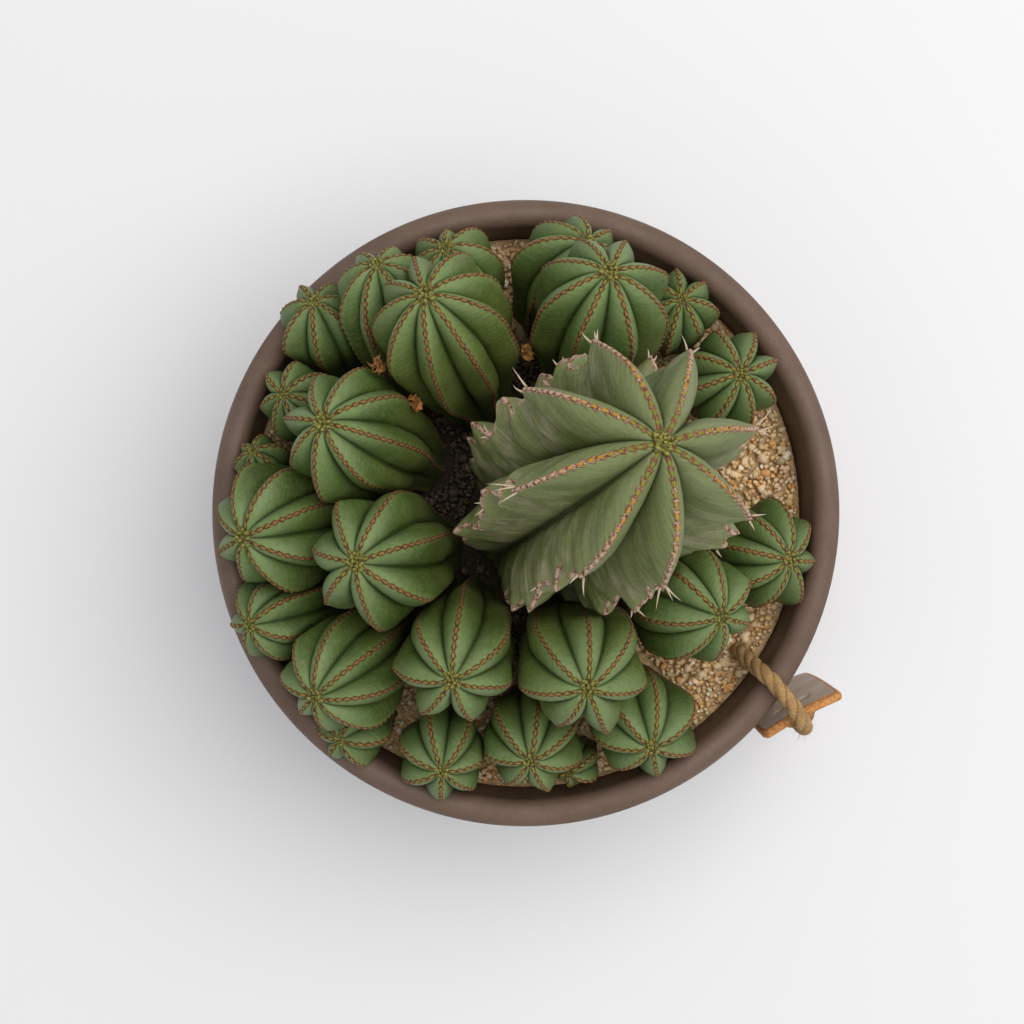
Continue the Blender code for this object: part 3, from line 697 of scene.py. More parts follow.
def bowl_profile():
    """Radius and height from the middle of the underside, out and up the side, over the lip and down
    inside."""
    low = np.linspace(HUB_RADIUS, BASE_RADIUS - FOOT_CHAMFER, 10)
    foot = np.linspace(0, np.pi / 2, 5)[1:-1]
    up = np.linspace(FOOT_CHAMFER, LIP_UP, 74)
    lip = np.linspace(0, np.pi, 22)[1:-1]
    down = np.linspace(LIP_UP, FLOOR, 40)
    ringed = smooth(up, 0.004, 0.02) * (1 - smooth(up, 0.07, 0.085))
    rings = RING_DEPTH * np.sin(2 * np.pi * up / RING_PITCH) * ringed
    radius = [
        low,
        BASE_RADIUS - FOOT_CHAMFER * (1 - np.sin(foot)),
        outside_radius(up) + rings,
        LIP_OUT + LIP_RADIUS * np.cos(lip),
        inside_radius(down),
        np.linspace(inside_radius(FLOOR) - 0.002, HUB_RADIUS, 8),
    ]
    height = [
        0 * low,
        FOOT_CHAMFER * (1 - np.cos(foot)),
        up,
        LIP_UP + LIP_RADIUS * np.sin(lip),
        down,
        np.full(8, FLOOR),
    ]
    return np.concatenate(radius), np.concatenate(height)


def bowl_surface(columns=192):
    """The profile turned about the axis. Hands leave it a hair off round: radius x (1 + small waves)."""
    radius, height = bowl_profile()
    angle = np.linspace(0, 2 * np.pi, columns, endpoint=False)[None, :]
    wave = sum(size * np.sin(round_trips * angle + turn) for round_trips, size, turn in OFF_ROUND)
    out = radius[:, None] * (1 + wave * smooth(height, 0.0, 0.03)[:, None])
    return np.stack([out * np.cos(angle), out * np.sin(angle), height[:, None] + 0 * angle], axis=-1)


bowl_points = bowl_surface()
bowl_rows, bowl_columns, _ = bowl_points.shape
bowl_quads, bowl_fans = ring_faces(bowl_rows, bowl_columns)
bowl_points = np.vstack([bowl_points.reshape(-1, 3), [[0, 0, 0], [0, 0, FLOOR]]])
bowl = mesh_piece("stoneware_bowl", bowl_points, bowl_quads, bowl_fans)
drains = []
for bearing in (0, 120, 240):
    x = DRAIN_CIRCLE_RADIUS * math.cos(math.radians(bearing))
    y = DRAIN_CIRCLE_RADIUS * math.sin(math.radians(bearing))
    drains.append(peg("drain", np.array([x, y, -0.01]), np.array([x, y, 2 * FLOOR]), DRAIN_RADIUS, 32))
cut(bowl, drains)
print("the bowl is", triangles_in(bowl), "triangles")

# %% Stoneware
LIP_WEAR = 0.0035


def stoneware_finish():
    """Matt grey-brown clay: soft blotches, dark iron specks, and a lip rubbed a little lighter."""
    made, tree, shader = material("stoneware", 0.62)
    place = object_place(tree)
    tone = use(tree, MOTTLE, {
        "Vector": place, "Broad": 38.0, "Fine": 1300.0, "Flecks": 0.5, "First": (0.138, 0.083, 0.055, 1),
        "Second": (0.105, 0.061, 0.040, 1), "Fleck": (0.065, 0.037, 0.024, 1),
    })
    iron = add(tree, "ShaderNodeTexVoronoi", {"Vector": place, "Scale": 420.0}).outputs["Distance"]
    specked = blend(tree, ramp(tree, iron, 0.06, 0.14, 0.7, 0.0), tone["Colour"], (0.045, 0.028, 0.020))
    on_lip = ramp(tree, height_in(tree, place), POT_HEIGHT - LIP_WEAR, POT_HEIGHT - 0.0002)
    worn = times(tree, on_lip, noise(tree, place, 150, 3))
    colour = blend(tree, times(tree, worn, 0.55), specked, (0.205, 0.132, 0.092))
    dents = times(tree, noise(tree, place, 420, 2), 0.8)
    bump = plus(tree, times(tree, tone["Height"], 0.6), dents)
    roughness = ramp(tree, noise(tree, place, 60, 3), 0.3, 0.7, 0.52, 0.72)
    join(tree, shader, colour, bump, 0.00022, 0.55, roughness)
    return made


STONEWARE = stoneware_finish()
dress(bowl, STONEWARE, "stoneware", "pot")

# %% [markdown]
# The stems crowd one another. Each follows a curve from its foot in the gravel to its tip, swells from a
# neck to its full girth and ends in a dome. Where a neighbour is in the way, both give up the same room,
# so the outline of a stem is pressed in and no two stems meet. The table gives each stem's foot and tip
# as a bearing and a share of the way out to the bowl's inside wall.

# %% Where the stems stand
GAP = 0.0003  # between two pieces that touch
gravel_low, gravel_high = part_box("gravel")
GRAVEL_TOP = gravel_high.z
SOIL_RADIUS = gravel_high.x + 2 * GAP
STEM_GAP = 0.0009
LIP_GAP = 0.0013
DOME = 0.9  # height of the round top, in girths
DOME_ARC = 0.95  # length of its arc, in quarter circles of one girth
LEAST_SIDE = 0.002
LEVEL_END = 0.3  # the share of the axis where the rings stop lying level
BOW_OUT = 0.42  # the axis curve's middle point, as shares of the way out and of the way up
BOW_UP = 0.52


class Stem(NamedTuple):
    """Foot and tip as (bearing, share of the way out), rise over the gravel, girth, ribs, and their
    turn."""

    name: str
    foot: tuple
    tip: tuple
    rise: float
    girth: float
    ribs: int
    turn: float


MOTHER = Stem("mother_stem", (333, 0.06), (27.7, 0.455), 0.109, 0.0325, 8, 16)
OFFSETS = [
    Stem("offset_01", (112, 0.47), (115, 0.795), 0.057, 0.0185, 9, 29),
    Stem("offset_02", (70, 0.55), (71, 0.84), 0.055, 0.0172, 8, 23),
    Stem("offset_03", (155, 0.45), (156, 0.74), 0.053, 0.0175, 8, 27),
    Stem("offset_04", (200, 0.37), (196, 0.585), 0.059, 0.0175, 7, 17),
    Stem("offset_05", (240, 0.39), (246, 0.605), 0.056, 0.0158, 7, 33),
    Stem("offset_06", (293, 0.38), (289, 0.61), 0.058, 0.0175, 7, 39),
    Stem("offset_07", (329, 0.48), (332, 0.75), 0.041, 0.0167, 7, 29),
    Stem("offset_08", (350, 0.75), (350, 0.93), 0.027, 0.0154, 8, 31),
    Stem("offset_09", (180, 0.675), (185, 0.965), 0.039, 0.0174, 8, 22),
    Stem("offset_10", (204, 0.80), (202, 1.035), 0.027, 0.0130, 7, 30),
    Stem("offset_11", (222, 0.645), (221, 0.955), 0.038, 0.0164, 8, 41),
    Stem("offset_12", (233, 0.905), (230.5, 1.03), 0.021, 0.0104, 6, 0),
    Stem("offset_13", (250, 0.815), (252, 0.94), 0.028, 0.0130, 7, 5),
    Stem("offset_14", (272, 0.70), (271, 0.855), 0.032, 0.0144, 7, 33),
    Stem("offset_15", (284, 0.88), (279, 0.93), 0.015, 0.0070, 6, 30),
    Stem("offset_16", (301, 0.735), (298, 0.92), 0.030, 0.0148, 7, 30),
    Stem("offset_17", (131, 0.62), (121, 0.99), 0.037, 0.0145, 8, 40),
    Stem("offset_18", (106, 0.715), (107, 0.96), 0.029, 0.0132, 8, 5),
    Stem("offset_19", (141, 0.865), (135, 1.045), 0.024, 0.0126, 7, 18),
    Stem("offset_20", (154, 0.80), (154, 0.94), 0.026, 0.0114, 7, 33),
    Stem("offset_21", (173, 0.905), (167, 0.985), 0.019, 0.0078, 6, 20),
    Stem("offset_22", (51, 0.84), (54, 0.92), 0.025, 0.0110, 7, 45),
    Stem("offset_23", (34, 0.785), (33, 0.88), 0.032, 0.0138, 8, 20),
    Stem("offset_24", (84, 0.72), (77, 0.955), 0.033, 0.0152, 8, 0),
]
STEMS = [MOTHER, *OFFSETS]
MOTHER_NECK = (0.62, 0.34)  # thickness at the gravel, in girths, and the share where it is full
OFFSET_NECK = (0.54, 0.6)


def place(bearing, share, height):
    """A point at a bearing in degrees, at a share of the way out to the bowl's inside wall."""
    angle = math.radians(bearing)
    return np.array([SOIL_RADIUS * share * math.cos(angle), SOIL_RADIUS * share * math.sin(angle), height])


def axis_of(stem, shares):
    """Points and directions on the axis, a curve with one control point between foot and tip."""
    foot = place(*stem.foot, GRAVEL_TOP + GAP)
    tip = place(*stem.tip, GRAVEL_TOP + stem.rise)
    middle = foot + (tip - foot) * np.array([BOW_OUT, BOW_OUT, BOW_UP])
    t = np.asarray(shares, float)[:, None]
    points = (1 - t) ** 2 * foot + 2 * t * (1 - t) * middle + t**2 * tip
    return points, unit((1 - t) * (middle - foot) + t * (tip - middle))


def length_of(stem):
    """The length of the axis, in metres."""
    points, _ = axis_of(stem, np.linspace(0, 1, 20))
    return float(np.linalg.norm(np.diff(points, axis=0), axis=1).sum())


def radius_of(stem, shares):
    """Girth x a neck that swells to full size x the quarter circle of the dome."""
    neck, swell_end = MOTHER_NECK if stem is MOTHER else OFFSET_NECK
    body = neck + (1 - neck) * smooth(np.asarray(shares, float), 0, swell_end)
    below_tip = (1 - shares) * length_of(stem) / (DOME * stem.girth)
    return stem.girth * body * np.sqrt(1 - (1 - np.clip(below_tip, 0, 1)) ** 2)


def surface_length(stem):
    """How far it is over the surface from the tip down to the foot: over the dome, then down the side."""
    over_dome = DOME_ARC * stem.girth * np.pi / 2
    return over_dome + max(length_of(stem) - DOME * stem.girth, LEAST_SIDE)


def share_at(stem, down):
    """The share of the axis at a distance from the tip over the surface. On the dome that is an angle."""
    over_dome = DOME_ARC * stem.girth * np.pi / 2
    drop = DOME * stem.girth * (1 - np.cos(np.clip(down / over_dome, 0, 1) * np.pi / 2))
    drop = drop + np.maximum(down - over_dome, 0)
    return np.clip(1 - drop / length_of(stem), 0, 1)


def frame_of(stem, shares):
    """Two directions square to the axis at each share. Near the gravel they lie level."""
    centres, ahead = axis_of(stem, shares)
    level = np.clip(np.asarray(shares) / LEVEL_END, 0, 1)[:, None]
    normal = unit((1 - level) * np.array([0, 0, 1.0]) + level * ahead)
    turn = math.radians(stem.turn)
    start = np.array([math.cos(turn), math.sin(turn), 0])
    across = unit(start - normal * (normal @ start)[:, None])
    return centres, ahead, across, np.cross(normal, across)


# %% Room between neighbours
def skeleton_of(stem):
    """Balls along the axis that stand for the stem when its neighbours press on it."""
    shares = np.linspace(0, 1, 14)
    return axis_of(stem, shares)[0], radius_of(stem, shares)


SKELETONS = {stem.name: skeleton_of(stem) for stem in STEMS}


def depth_in(points, skeleton):
    """How far each point is outside a skeleton's balls."""
    centres, radii = skeleton
    apart = np.linalg.norm(points[..., None, :] - centres, axis=-1)
    return (apart - radii).min(axis=-1)


def room_for(points, stem):
    """Half of how much nearer each point is to this stem than to any neighbour, or its way to gravel or
    lip."""
    mine = depth_in(points, SKELETONS[stem.name])
    room = points[..., 2] - GRAVEL_TOP - GAP / 2
    for name, skeleton in SKELETONS.items():
        if name != stem.name:
            room = np.minimum(room, (depth_in(points, skeleton) - mine - STEM_GAP) / 2)
    out = np.hypot(points[..., 0], points[..., 1])
    off_lip = np.hypot(out - LIP_OUT, points[..., 2] - LIP_UP) - LIP_RADIUS - LIP_GAP
    off_wall = inside_radius(points[..., 2]) - 3 * GAP - out
    return np.minimum(room, np.where(points[..., 2] < LIP_UP, np.minimum(off_wall, off_lip), off_lip))


ROOM_ROWS = 30
ROOM_COLUMNS = 56
ROOM_STEPS = 20
ROOM_REACH = 1.22  # how far out the grid looks, in girths


def room_grid(stem):
    """How far out the stem may reach, at even distances down its surface and even angles round it."""
    down = np.linspace(0, surface_length(stem), ROOM_ROWS)
    shares = share_at(stem, down)
    centres, _, across, beside = frame_of(stem, shares)
    angle = np.arange(ROOM_COLUMNS) * 2 * np.pi / ROOM_COLUMNS
    angle = angle[None, :, None]
    out = np.cos(angle) * across[:, None, :] + np.sin(angle) * beside[:, None, :]
    steps = np.linspace(0, ROOM_REACH * stem.girth, ROOM_STEPS)
    points = centres[:, None, None, :] + out[:, :, None, :] * steps[None, None, :, None]
    room = room_for(points, stem)
    free = np.minimum.accumulate(room > 0, axis=-1).sum(axis=-1)
    last = np.clip(free - 1, 0, ROOM_STEPS - 1)
    following = np.clip(free, 0, ROOM_STEPS - 1)
    before = np.take_along_axis(room, last[..., None], -1)[..., 0]
    after = np.take_along_axis(room, following[..., None], -1)[..., 0]
    part = np.where(following > last, before / np.maximum(before - after, 1e-9), 0)
    return (last + part) * steps[1]


def look_up(grid, row, angle):
    """A value between a grid's points, at a row number and an angle. The grid closes on itself round the
    stem."""
    rows, columns = grid.shape
    row = np.clip(row, 0, rows - 1.001)
    column = (angle / (2 * np.pi) * columns) % columns
    i = row.astype(int)
    j = column.astype(int) % columns
    a = row - i
    b = column - np.floor(column)
    following = (j + 1) % columns
    near = grid[i, j] * (1 - b) + grid[i, following] * b
    far = grid[i + 1, j] * (1 - b) + grid[i + 1, following] * b
    return near * (1 - a) + far * a


# %% [markdown]
# One stem's surface is a grid of rows down from the tip and columns round the ribs. The columns crowd
# together near each crest, where the detail is. A rib swells out between its valleys as 1 - depth x
# distance^power, with a power near 2 for a plump young rib and near 1 for the flat flanks of an old one.
# The crest carries a thin ridge, raised in a bead at each old bud.

# %% A ribbed stem
RIB_COLUMNS = np.array([0, 0.05, 0.10, 0.16, 0.24, 0.34, 0.46, 0.58, 0.70, 0.81, 0.90, 0.96, 1.0])


class Skin(NamedTuple):
    """How a stem's ribs look: valley depth below and at the tip, the power of the rib's swell, the pitch,
    height and half width of the crest's beads, the depth of its growth steps, the size of its unevenness,
    and how far the crest curls from side to side below the first step."""

    low: float
    at_tip: float
    power: float
    pitch: float
    bead: float
    half_width: float
    steps: float
    uneven: float
    curl: float


YOUNG = Skin(0.28, 0.50, 1.85, 0.0021, 0.00068, 0.00080, 0.0, 0.00085, 0.0)
OLD = Skin(0.50, 0.66, 1.18, 0.0024, 0.00065, 0.00100, 0.26, 0.0011, 0.42)
FIRST_STEP = 0.040
STEP_PITCH = 0.026
STEPS_EACH = 2
ROW_CROWDING = 1.25  # draws the rows together towards the tip
FOLD = 0.0007  # height of the old flanks' folds, and of the fine pleats on them
PLEAT = 0.00012
SOFTNESS = 0.0007  # how gently a rib flattens against its neighbour
TIP_DIP = 0.0011  # how far the tip's middle is sunk
STUB = 0.006  # how far the foot goes on under the gravel
UV_SCALE = 100  # the surface map is in centimetres


def waves(x, y, z, rng, count=6):
    """A smooth random height from -1 to 1: a sum of plane waves in random directions."""
    total = 0
    for _ in range(count):
        direction = rng.normal(size=3)
        direction /= np.linalg.norm(direction)
        total = total + np.sin(x * direction[0] + y * direction[1] + z * direction[2] + rng.uniform(0, 6.28))
    return total / count


def crest_step(down, late, depth):
    """The old crest's outline: depth x (1 - phase)^1.5, where phase runs from 0 to 1 between two shoulders.
    It drops back sharply under each shoulder and grows out again."""
    phase = ((down - FIRST_STEP - late) / STEP_PITCH) % 1
    below = smooth(down, FIRST_STEP + late - 0.0002, FIRST_STEP + late + 0.0012)
    saw = (1 - phase) ** 1.5 * smooth(phase, -0.001, 0.07)
    return below * saw * depth


def surface_map(x, rib, ribs, down, half_rib, shift):
    """The map's u and v at each corner of each face: u is the distance from the face's own crest, and v the
    distance from the tip plus that crest's shift."""
    columns = len(x)
    left = np.where(x >= 1, -1.0, x)[None, :]
    right = np.roll(x, -1)[None, :]
    crest_of_face = np.where(x >= 1, (rib + 1) % ribs, rib)
    wide = np.concatenate([half_rib[:1], half_rib])
    v = down[:, None] + shift[crest_of_face][None, :]
    u = np.stack([left * wide[:-1], right * wide[:-1], right * wide[1:], left * wide[1:]], axis=-1)
    v = np.stack([v[:-1], v[:-1], v[1:], v[1:]], axis=-1)
    of_quads = np.stack([u, v], axis=-1).reshape(-1, 2)
    low_fan = np.concatenate([right * wide[0], left * wide[0], 0 * left]).T
    high_fan = np.concatenate([left * wide[-1], right * wide[-1], 0 * left]).T
    fan_u = np.concatenate([low_fan, high_fan]).ravel()
    fan_v = np.repeat([down[0], 0.0], 3 * columns)
    return UV_SCALE * np.concatenate([of_quads, np.stack([fan_u, fan_v], axis=-1)])


def stem_piece(stem, skin, rows, seed):
    """The grid of one stem, with its surface map, its valley share, the places of its shoulders, and how
    wide it is at the gravel."""
    rng = np.random.default_rng(seed)
    total = surface_length(stem)
    one_rib = np.concatenate([RIB_COLUMNS, -RIB_COLUMNS[-2:0:-1]])
    x = np.tile(one_rib, stem.ribs)
    columns = len(x)
    rib = (np.repeat(np.arange(stem.ribs), len(one_rib)) + (x < 0)) % stem.ribs
    down = total * (np.arange(1, rows + 1) / rows)[::-1] ** ROW_CROWDING
    shares = share_at(stem, down)
    centres, ahead, across, beside = frame_of(stem, shares)

    lean = rng.uniform(-0.15, 0.15, stem.ribs)
    stretch = 1 + rng.uniform(-0.08, 0.06, stem.ribs)
    shift = rng.uniform(0, 1, stem.ribs) * skin.pitch
    late = rng.uniform(-0.004, 0.004, stem.ribs)
    depth_of_step = skin.steps * rng.uniform(0.75, 1.2, stem.ribs)
    wander = rng.uniform(0, 6.28, stem.ribs)
    crest_turn = lean[rib][None, :] + 0.07 * np.sin(down[:, None] / 0.0085 + wander[rib][None, :])
    below = smooth(down[:, None], FIRST_STEP + late[rib][None, :], FIRST_STEP + late[rib][None, :] + 0.004)
    curled = waves(down[:, None] / 0.0016, rib[None, :] * 5.0, 0, rng, 4)
    crest_turn = crest_turn + skin.curl * below * curled
    fade = np.clip(1 - np.abs(x), 0, 1)[None, :]
    angle = (rib[None, :] + x[None, :] / 2 + crest_turn * fade / 2) * 2 * np.pi / stem.ribs
    flank = np.abs(x)[None, :]
    near_tip = np.clip(1 - (1 - shares) * length_of(stem) / (DOME * stem.girth), 0, 1)
    depth = (skin.low + (skin.at_tip - skin.low) * near_tip) * np.clip(shares / 0.25, 0.3, 1)
    profile = 1 - depth[:, None] * flank**skin.power
    radius = radius_of(stem, shares)[:, None] * profile
    radius = radius * (1 + (stretch[rib][None, :] - 1) * fade)
    if skin.steps:
        steps = np.stack([crest_step(down, late[r], depth_of_step[r]) for r in range(stem.ribs)], axis=1)
        ragged = 0.10 * below * waves(down[:, None] / 0.0012, rib[None, :] * 3.0, 0, rng, 4)
        radius = radius * (1 - (steps[:, rib] - ragged) * np.clip(1 - flank / 0.8, 0, 1) ** 0.9)
        folds = np.sin(down[:, None] / 0.0019 + 2.2 * flank * np.pi + wander[rib][None, :])
        bent = 3 * np.sin(down[:, None] / 0.006 + rib[None, :])
        pleats = np.sin(down[:, None] / 0.00045 + 3.0 * flank + bent)
        fan = smooth(down, 0.014, 0.04)[:, None] * (flank * (1 - flank) * 4)
        radius = radius + (FOLD * folds + PLEAT * pleats) * fan

    half_rib = np.pi * np.maximum(radius_of(stem, shares), 0.0004)[:, None] / stem.ribs
    from_crest = flank * half_rib
    bead = 0.5 - 0.5 * np.cos(2 * np.pi * (down[:, None] + shift[rib][None, :]) / skin.pitch)
    ridge = np.exp(-((from_crest / skin.half_width) ** 2)) * smooth(down, 0.0008, 0.004)[:, None]
    radius = radius + skin.bead * ridge * (0.45 + 0.75 * bead)

    room_row = np.broadcast_to((down / total * (ROOM_ROWS - 1))[:, None], angle.shape)
    room = look_up(room_grid(stem), room_row, angle)
    decay = np.exp(-np.clip(radius / SOFTNESS, 0, 60)) + np.exp(-np.clip(room / SOFTNESS, 0, 60))
    radius = -SOFTNESS * np.log(decay)
    radius = np.maximum(radius, 0.0001)
    out = np.cos(angle)[..., None] * across[:, None, :] + np.sin(angle)[..., None] * beside[:, None, :]
    points = centres[:, None, :] + out * radius[..., None]
    rough = waves(points[..., 0] / 0.0032, points[..., 1] / 0.0032, points[..., 2] / 0.0032, rng, 7)
    points = points + out * (skin.uneven * rough * smooth(down, 0.002, 0.008)[:, None])[..., None]
    dip = TIP_DIP * np.exp(-((radius / (0.16 * stem.girth)) ** 2))
    points = points - ahead[:, None, :] * dip[..., None]

    stub = points[0].copy()
    stub[:, 2] = GRAVEL_TOP - STUB
    points = np.concatenate([stub[None], points])
    tip = axis_of(stem, np.array([1.0]))[0][0] - ahead[-1] * TIP_DIP
    quads, fans = ring_faces(rows + 1, columns)
    uv = surface_map(x, rib, stem.ribs, np.concatenate([[total + STUB], down]), half_rib, shift)
    valley = np.concatenate([np.broadcast_to(flank, (rows + 1, columns)).ravel(), [1, 0]])
    tone = np.full(len(valley), rng.uniform(0, 1))
    everything = np.vstack([points.reshape(-1, 3), stub.mean(axis=0), tip])
    item = mesh_piece(stem.name + "_flesh", everything, quads, fans, uv, {"valley": valley, "tone": tone})

    shoulders = []
    for r in range(stem.ribs):
        crest = r * len(one_rib)
        for number in range(STEPS_EACH):
            where = FIRST_STEP + late[r] + number * STEP_PITCH
            row = int(np.argmin(np.abs(down - where + 0.0008)))
            shoulders.append((points[row + 1, crest], out[row, crest], ahead[row]))
    return item, shoulders, radius[0].max()

# %% [markdown]
# The flesh of every stem has the same effects: a line of buds and scars along each crest, fine streaks
# from crest to valley, a pale waxy bloom near the tip, and painted shade deep in the valleys and low down
# between the stems. The line of buds is a shader group on the surface map, whose u is the distance from
# the crest and v the distance from the tip.

# %% Line of buds along a crest, a shared effect
def bud_line_group():
    """Masks along u = 0: the whole line, the oval buds spaced by the pitch, the line's edge, and its
    age."""
    made, given, out = group(
        "bud_line",
        [
            ("Surface", "NodeSocketVector", None),
            ("Pitch", "NodeSocketFloat", 0.22),
            ("Half width", "NodeSocketFloat", 0.08),
            ("Young", "NodeSocketFloat", 0.6),
            ("Old", "NodeSocketFloat", 2.4),
        ],
        [(label, "NodeSocketFloat") for label in ("Line", "Bud", "Edge", "Age")],
    )
    rough = noise(made, stretched(made, given["Surface"], 9, 9, 1), 1.0, 3, 0.6)
    parts = add(made, "ShaderNodeSeparateXYZ", {"Vector": given["Surface"]})
    sway = times(made, maths(made, "SUBTRACT", rough, 0.5), 0.09)
    off = maths(made, "ABSOLUTE", plus(made, parts.outputs["X"], times(made, sway, 0.5)))
    across = maths(made, "DIVIDE", off, given["Half width"])
    along = maths(made, "DIVIDE", plus(made, parts.outputs["Y"], sway), given["Pitch"])
    phase = maths(made, "SUBTRACT", maths(made, "FRACT", along), 0.5)
    along_part = maths(made, "POWER", maths(made, "DIVIDE", phase, 0.34), 2.0)
    oval = plus(made, along_part, maths(made, "POWER", maths(made, "DIVIDE", across, 0.58), 2.0))
    swell = times(made, maths(made, "COSINE", times(made, along, 6.2832)), -0.24)
    reach = maths(made, "DIVIDE", across, plus(made, swell, 0.86))
    made.links.new(ramp(made, reach, 0.8, 1.15, 1.0, 0.0), out["Line"])
    made.links.new(ramp(made, oval, 0.65, 1.1, 1.0, 0.0), out["Bud"])
    edge = times(made, ramp(made, across, 0.55, 0.8), ramp(made, across, 0.95, 1.2, 1.0, 0.0))
    made.links.new(edge, out["Edge"])
    ages = {"Value": parts.outputs["Y"], "From Min": given["Young"], "From Max": given["Old"]}
    aged = add(made, "ShaderNodeMapRange", ages).outputs["Result"]
    age = maths(made, "ADD", aged, times(made, sway, 2.0), clamp=True)
    made.links.new(age, out["Age"])
    return made


BUD_LINE = bud_line_group()
SUNK_DEPTH = 0.040  # how high over the gravel the shade between the stems reaches
WEATHERED = (0.33, 0.29, 0.19)
DRY_FROM = 2.4  # centimetres down from the tip
DRY_FULL = 4.6


class Flesh(NamedTuple):
    """A stem skin's colours and sizes. The colours are those of the crest, the waxy bloom, the body, a dark
    green for blotches and streaks that, darker still, is the painted shade in the valleys and low between
    the stems, the tint that tells stems apart, a young and a ripe bud, the scar between two buds, and old
    cork. Lengths are in centimetres, as on the surface map: the buds' pitch, the crest line's half width,
    where the bloom ends, and where the buds are young and old. Then come the streaks' density, share and
    depth, the colour low on the stem, and how weathered it gets."""

    tip: tuple
    bloom: tuple
    body: tuple
    deep: tuple
    tint: tuple
    bud: tuple
    ripe: tuple
    scar: tuple
    cork: tuple
    pitch: float
    half_width: float
    bloom_end: float
    young: float
    old: float
    streak: float
    streak_share: float
    streak_depth: float
    low: tuple
    weathered: float


def darker(colour, share):
    """A share of a colour."""
    return tuple(share * part for part in colour)


def flesh_finish(name, skin):
    """Green skin: streaks from crest to valley, bloom near the tip, painted shade in the valleys and low
    down between the stems, and the line of buds on top."""
    made, tree, shader = material(name, 0.5)
    surface = add(tree, "ShaderNodeUVMap", uv_map="surface").outputs["UV"]
    place = object_place(tree)
    valley = attribute(tree, "valley")
    tone = attribute(tree, "tone")
    parts = add(tree, "ShaderNodeSeparateXYZ", {"Vector": surface})
    along = parts.outputs["Y"]
    across = maths(tree, "ABSOLUTE", parts.outputs["X"])
    slant = plus(tree, along, times(tree, across, 0.3))
    run = times(tree, slant, skin.streak)
    swept = add(tree, "ShaderNodeCombineXYZ", {"X": times(tree, across, 1.1), "Y": run})
    swirl = add(tree, "ShaderNodeTexNoise", {"Vector": place, "Scale": 160.0}).outputs["Color"]
    bent = add(tree, "ShaderNodeVectorMath", {0: swept.outputs[0], 1: swirl}, operation="ADD").outputs[0]
    streaks = noise(tree, bent, 1.0, 3, 0.62)
    blotch = noise(tree, place, 130, 4, 0.6)
    broad = noise(tree, place, 45, 2)

    colour = blend(tree, ramp(tree, broad, 0.3, 0.7), skin.body, skin.deep)
    colour = blend(tree, times(tree, ramp(tree, tone, 0.3, 1.0), 0.35), colour, skin.tint)
    under_bloom = ramp(tree, along, skin.bloom_end * 0.7, skin.bloom_end * 1.9, 0.0, 0.75)
    colour = blend(tree, under_bloom, colour, skin.low)
    near_tip = ramp(tree, along, skin.bloom_end * 0.35, skin.bloom_end, 1.0, 0.0)
    waxy = times(tree, near_tip, ramp(tree, blotch, 0.25, 0.7, 0.55, 1.0))
    colour = blend(tree, waxy, colour, skin.bloom)
    pebbles = noise(tree, place, 950, 3, 0.65)
    colour = blend(tree, ramp(tree, pebbles, 0.45, 0.75, 0.0, 0.35), colour, skin.bloom)
    colour = blend(tree, ramp(tree, pebbles, 0.50, 0.28, 0.0, 0.30), colour, skin.deep)
    colour = blend(tree, ramp(tree, streaks, 0.38, 0.72, 0.0, skin.streak_share), colour, skin.bloom)
    colour = blend(tree, ramp(tree, streaks, 0.52, 0.28, 0.0, skin.streak_share), colour, skin.deep)
    dry = times(tree, ramp(tree, along, DRY_FROM, DRY_FULL), ramp(tree, blotch, 0.42, 0.68))
    dry = times(tree, dry, ramp(tree, streaks, 0.35, 0.6, 0.3, 1.0))
    colour = blend(tree, times(tree, dry, skin.weathered), colour, WEATHERED)
    # Painted shade in the valleys between the ribs.
    colour = blend(tree, ramp(tree, valley, 0.80, 1.0, 0.0, 0.75), colour, darker(skin.deep, 0.4))
    # Painted shade low down between the stems, fading out SUNK_DEPTH over the gravel.
    sunk = ramp(tree, height_in(tree, place), GRAVEL_TOP, GRAVEL_TOP + SUNK_DEPTH, 0.6, 0.0)
    colour = blend(tree, sunk, colour, darker(skin.deep, 0.6))
    near_crest = ramp(tree, across, skin.half_width * 1.2, skin.half_width * 3.2, 0.5, 0.0)
    colour = blend(tree, near_crest, colour, skin.tip)

    line = use(tree, BUD_LINE, {
        "Surface": surface, "Pitch": skin.pitch, "Half width": skin.half_width, "Young": skin.young,
        "Old": skin.old,
    })
    fleck = noise(tree, place, 1700, 2)
    bud = blend(tree, ramp(tree, line["Age"], 0.05, 0.5), skin.bud, skin.ripe)
    bud = blend(tree, ramp(tree, line["Age"], 0.45, 0.95), bud, skin.cork)
    between = blend(tree, ramp(tree, fleck, 0.42, 0.62), skin.scar, skin.cork)
    between = blend(tree, ramp(tree, line["Age"], 0.0, 0.35, 0.75, 0.0), between, skin.scar)
    crest = blend(tree, line["Bud"], between, bud)
    rim = blend(tree, times(tree, line["Age"], skin.weathered), skin.scar, skin.cork)
    crest = blend(tree, times(tree, line["Edge"], 0.7), crest, rim)
    starts = ramp(tree, along, 0.03, 0.16)
    colour = blend(tree, times(tree, line["Line"], starts), colour, crest)
    apex = ramp(tree, along, 0.10, 0.26, 1.0, 0.0)
    pits = ramp(tree, noise(tree, place, 1500, 1), 0.4, 0.6)
    tuft = blend(tree, pits, skin.bud, darker(skin.bud, 0.25))
    colour = blend(tree, apex, colour, tuft)

    height = plus(tree, streaks, times(tree, line["Bud"], 0.8))
    crumbs = times(tree, fleck, times(tree, line["Line"], 1.2))
    height = plus(tree, height, crumbs)
    dull = times(tree, line["Line"], 0.3)
    roughness = plus(tree, ramp(tree, blotch, 0.3, 0.7, 0.42, 0.58), dull)
    join(tree, shader, colour, height, skin.streak_depth, 0.8, roughness)
    shader.inputs["Specular IOR Level"].default_value = 0.35
    return made


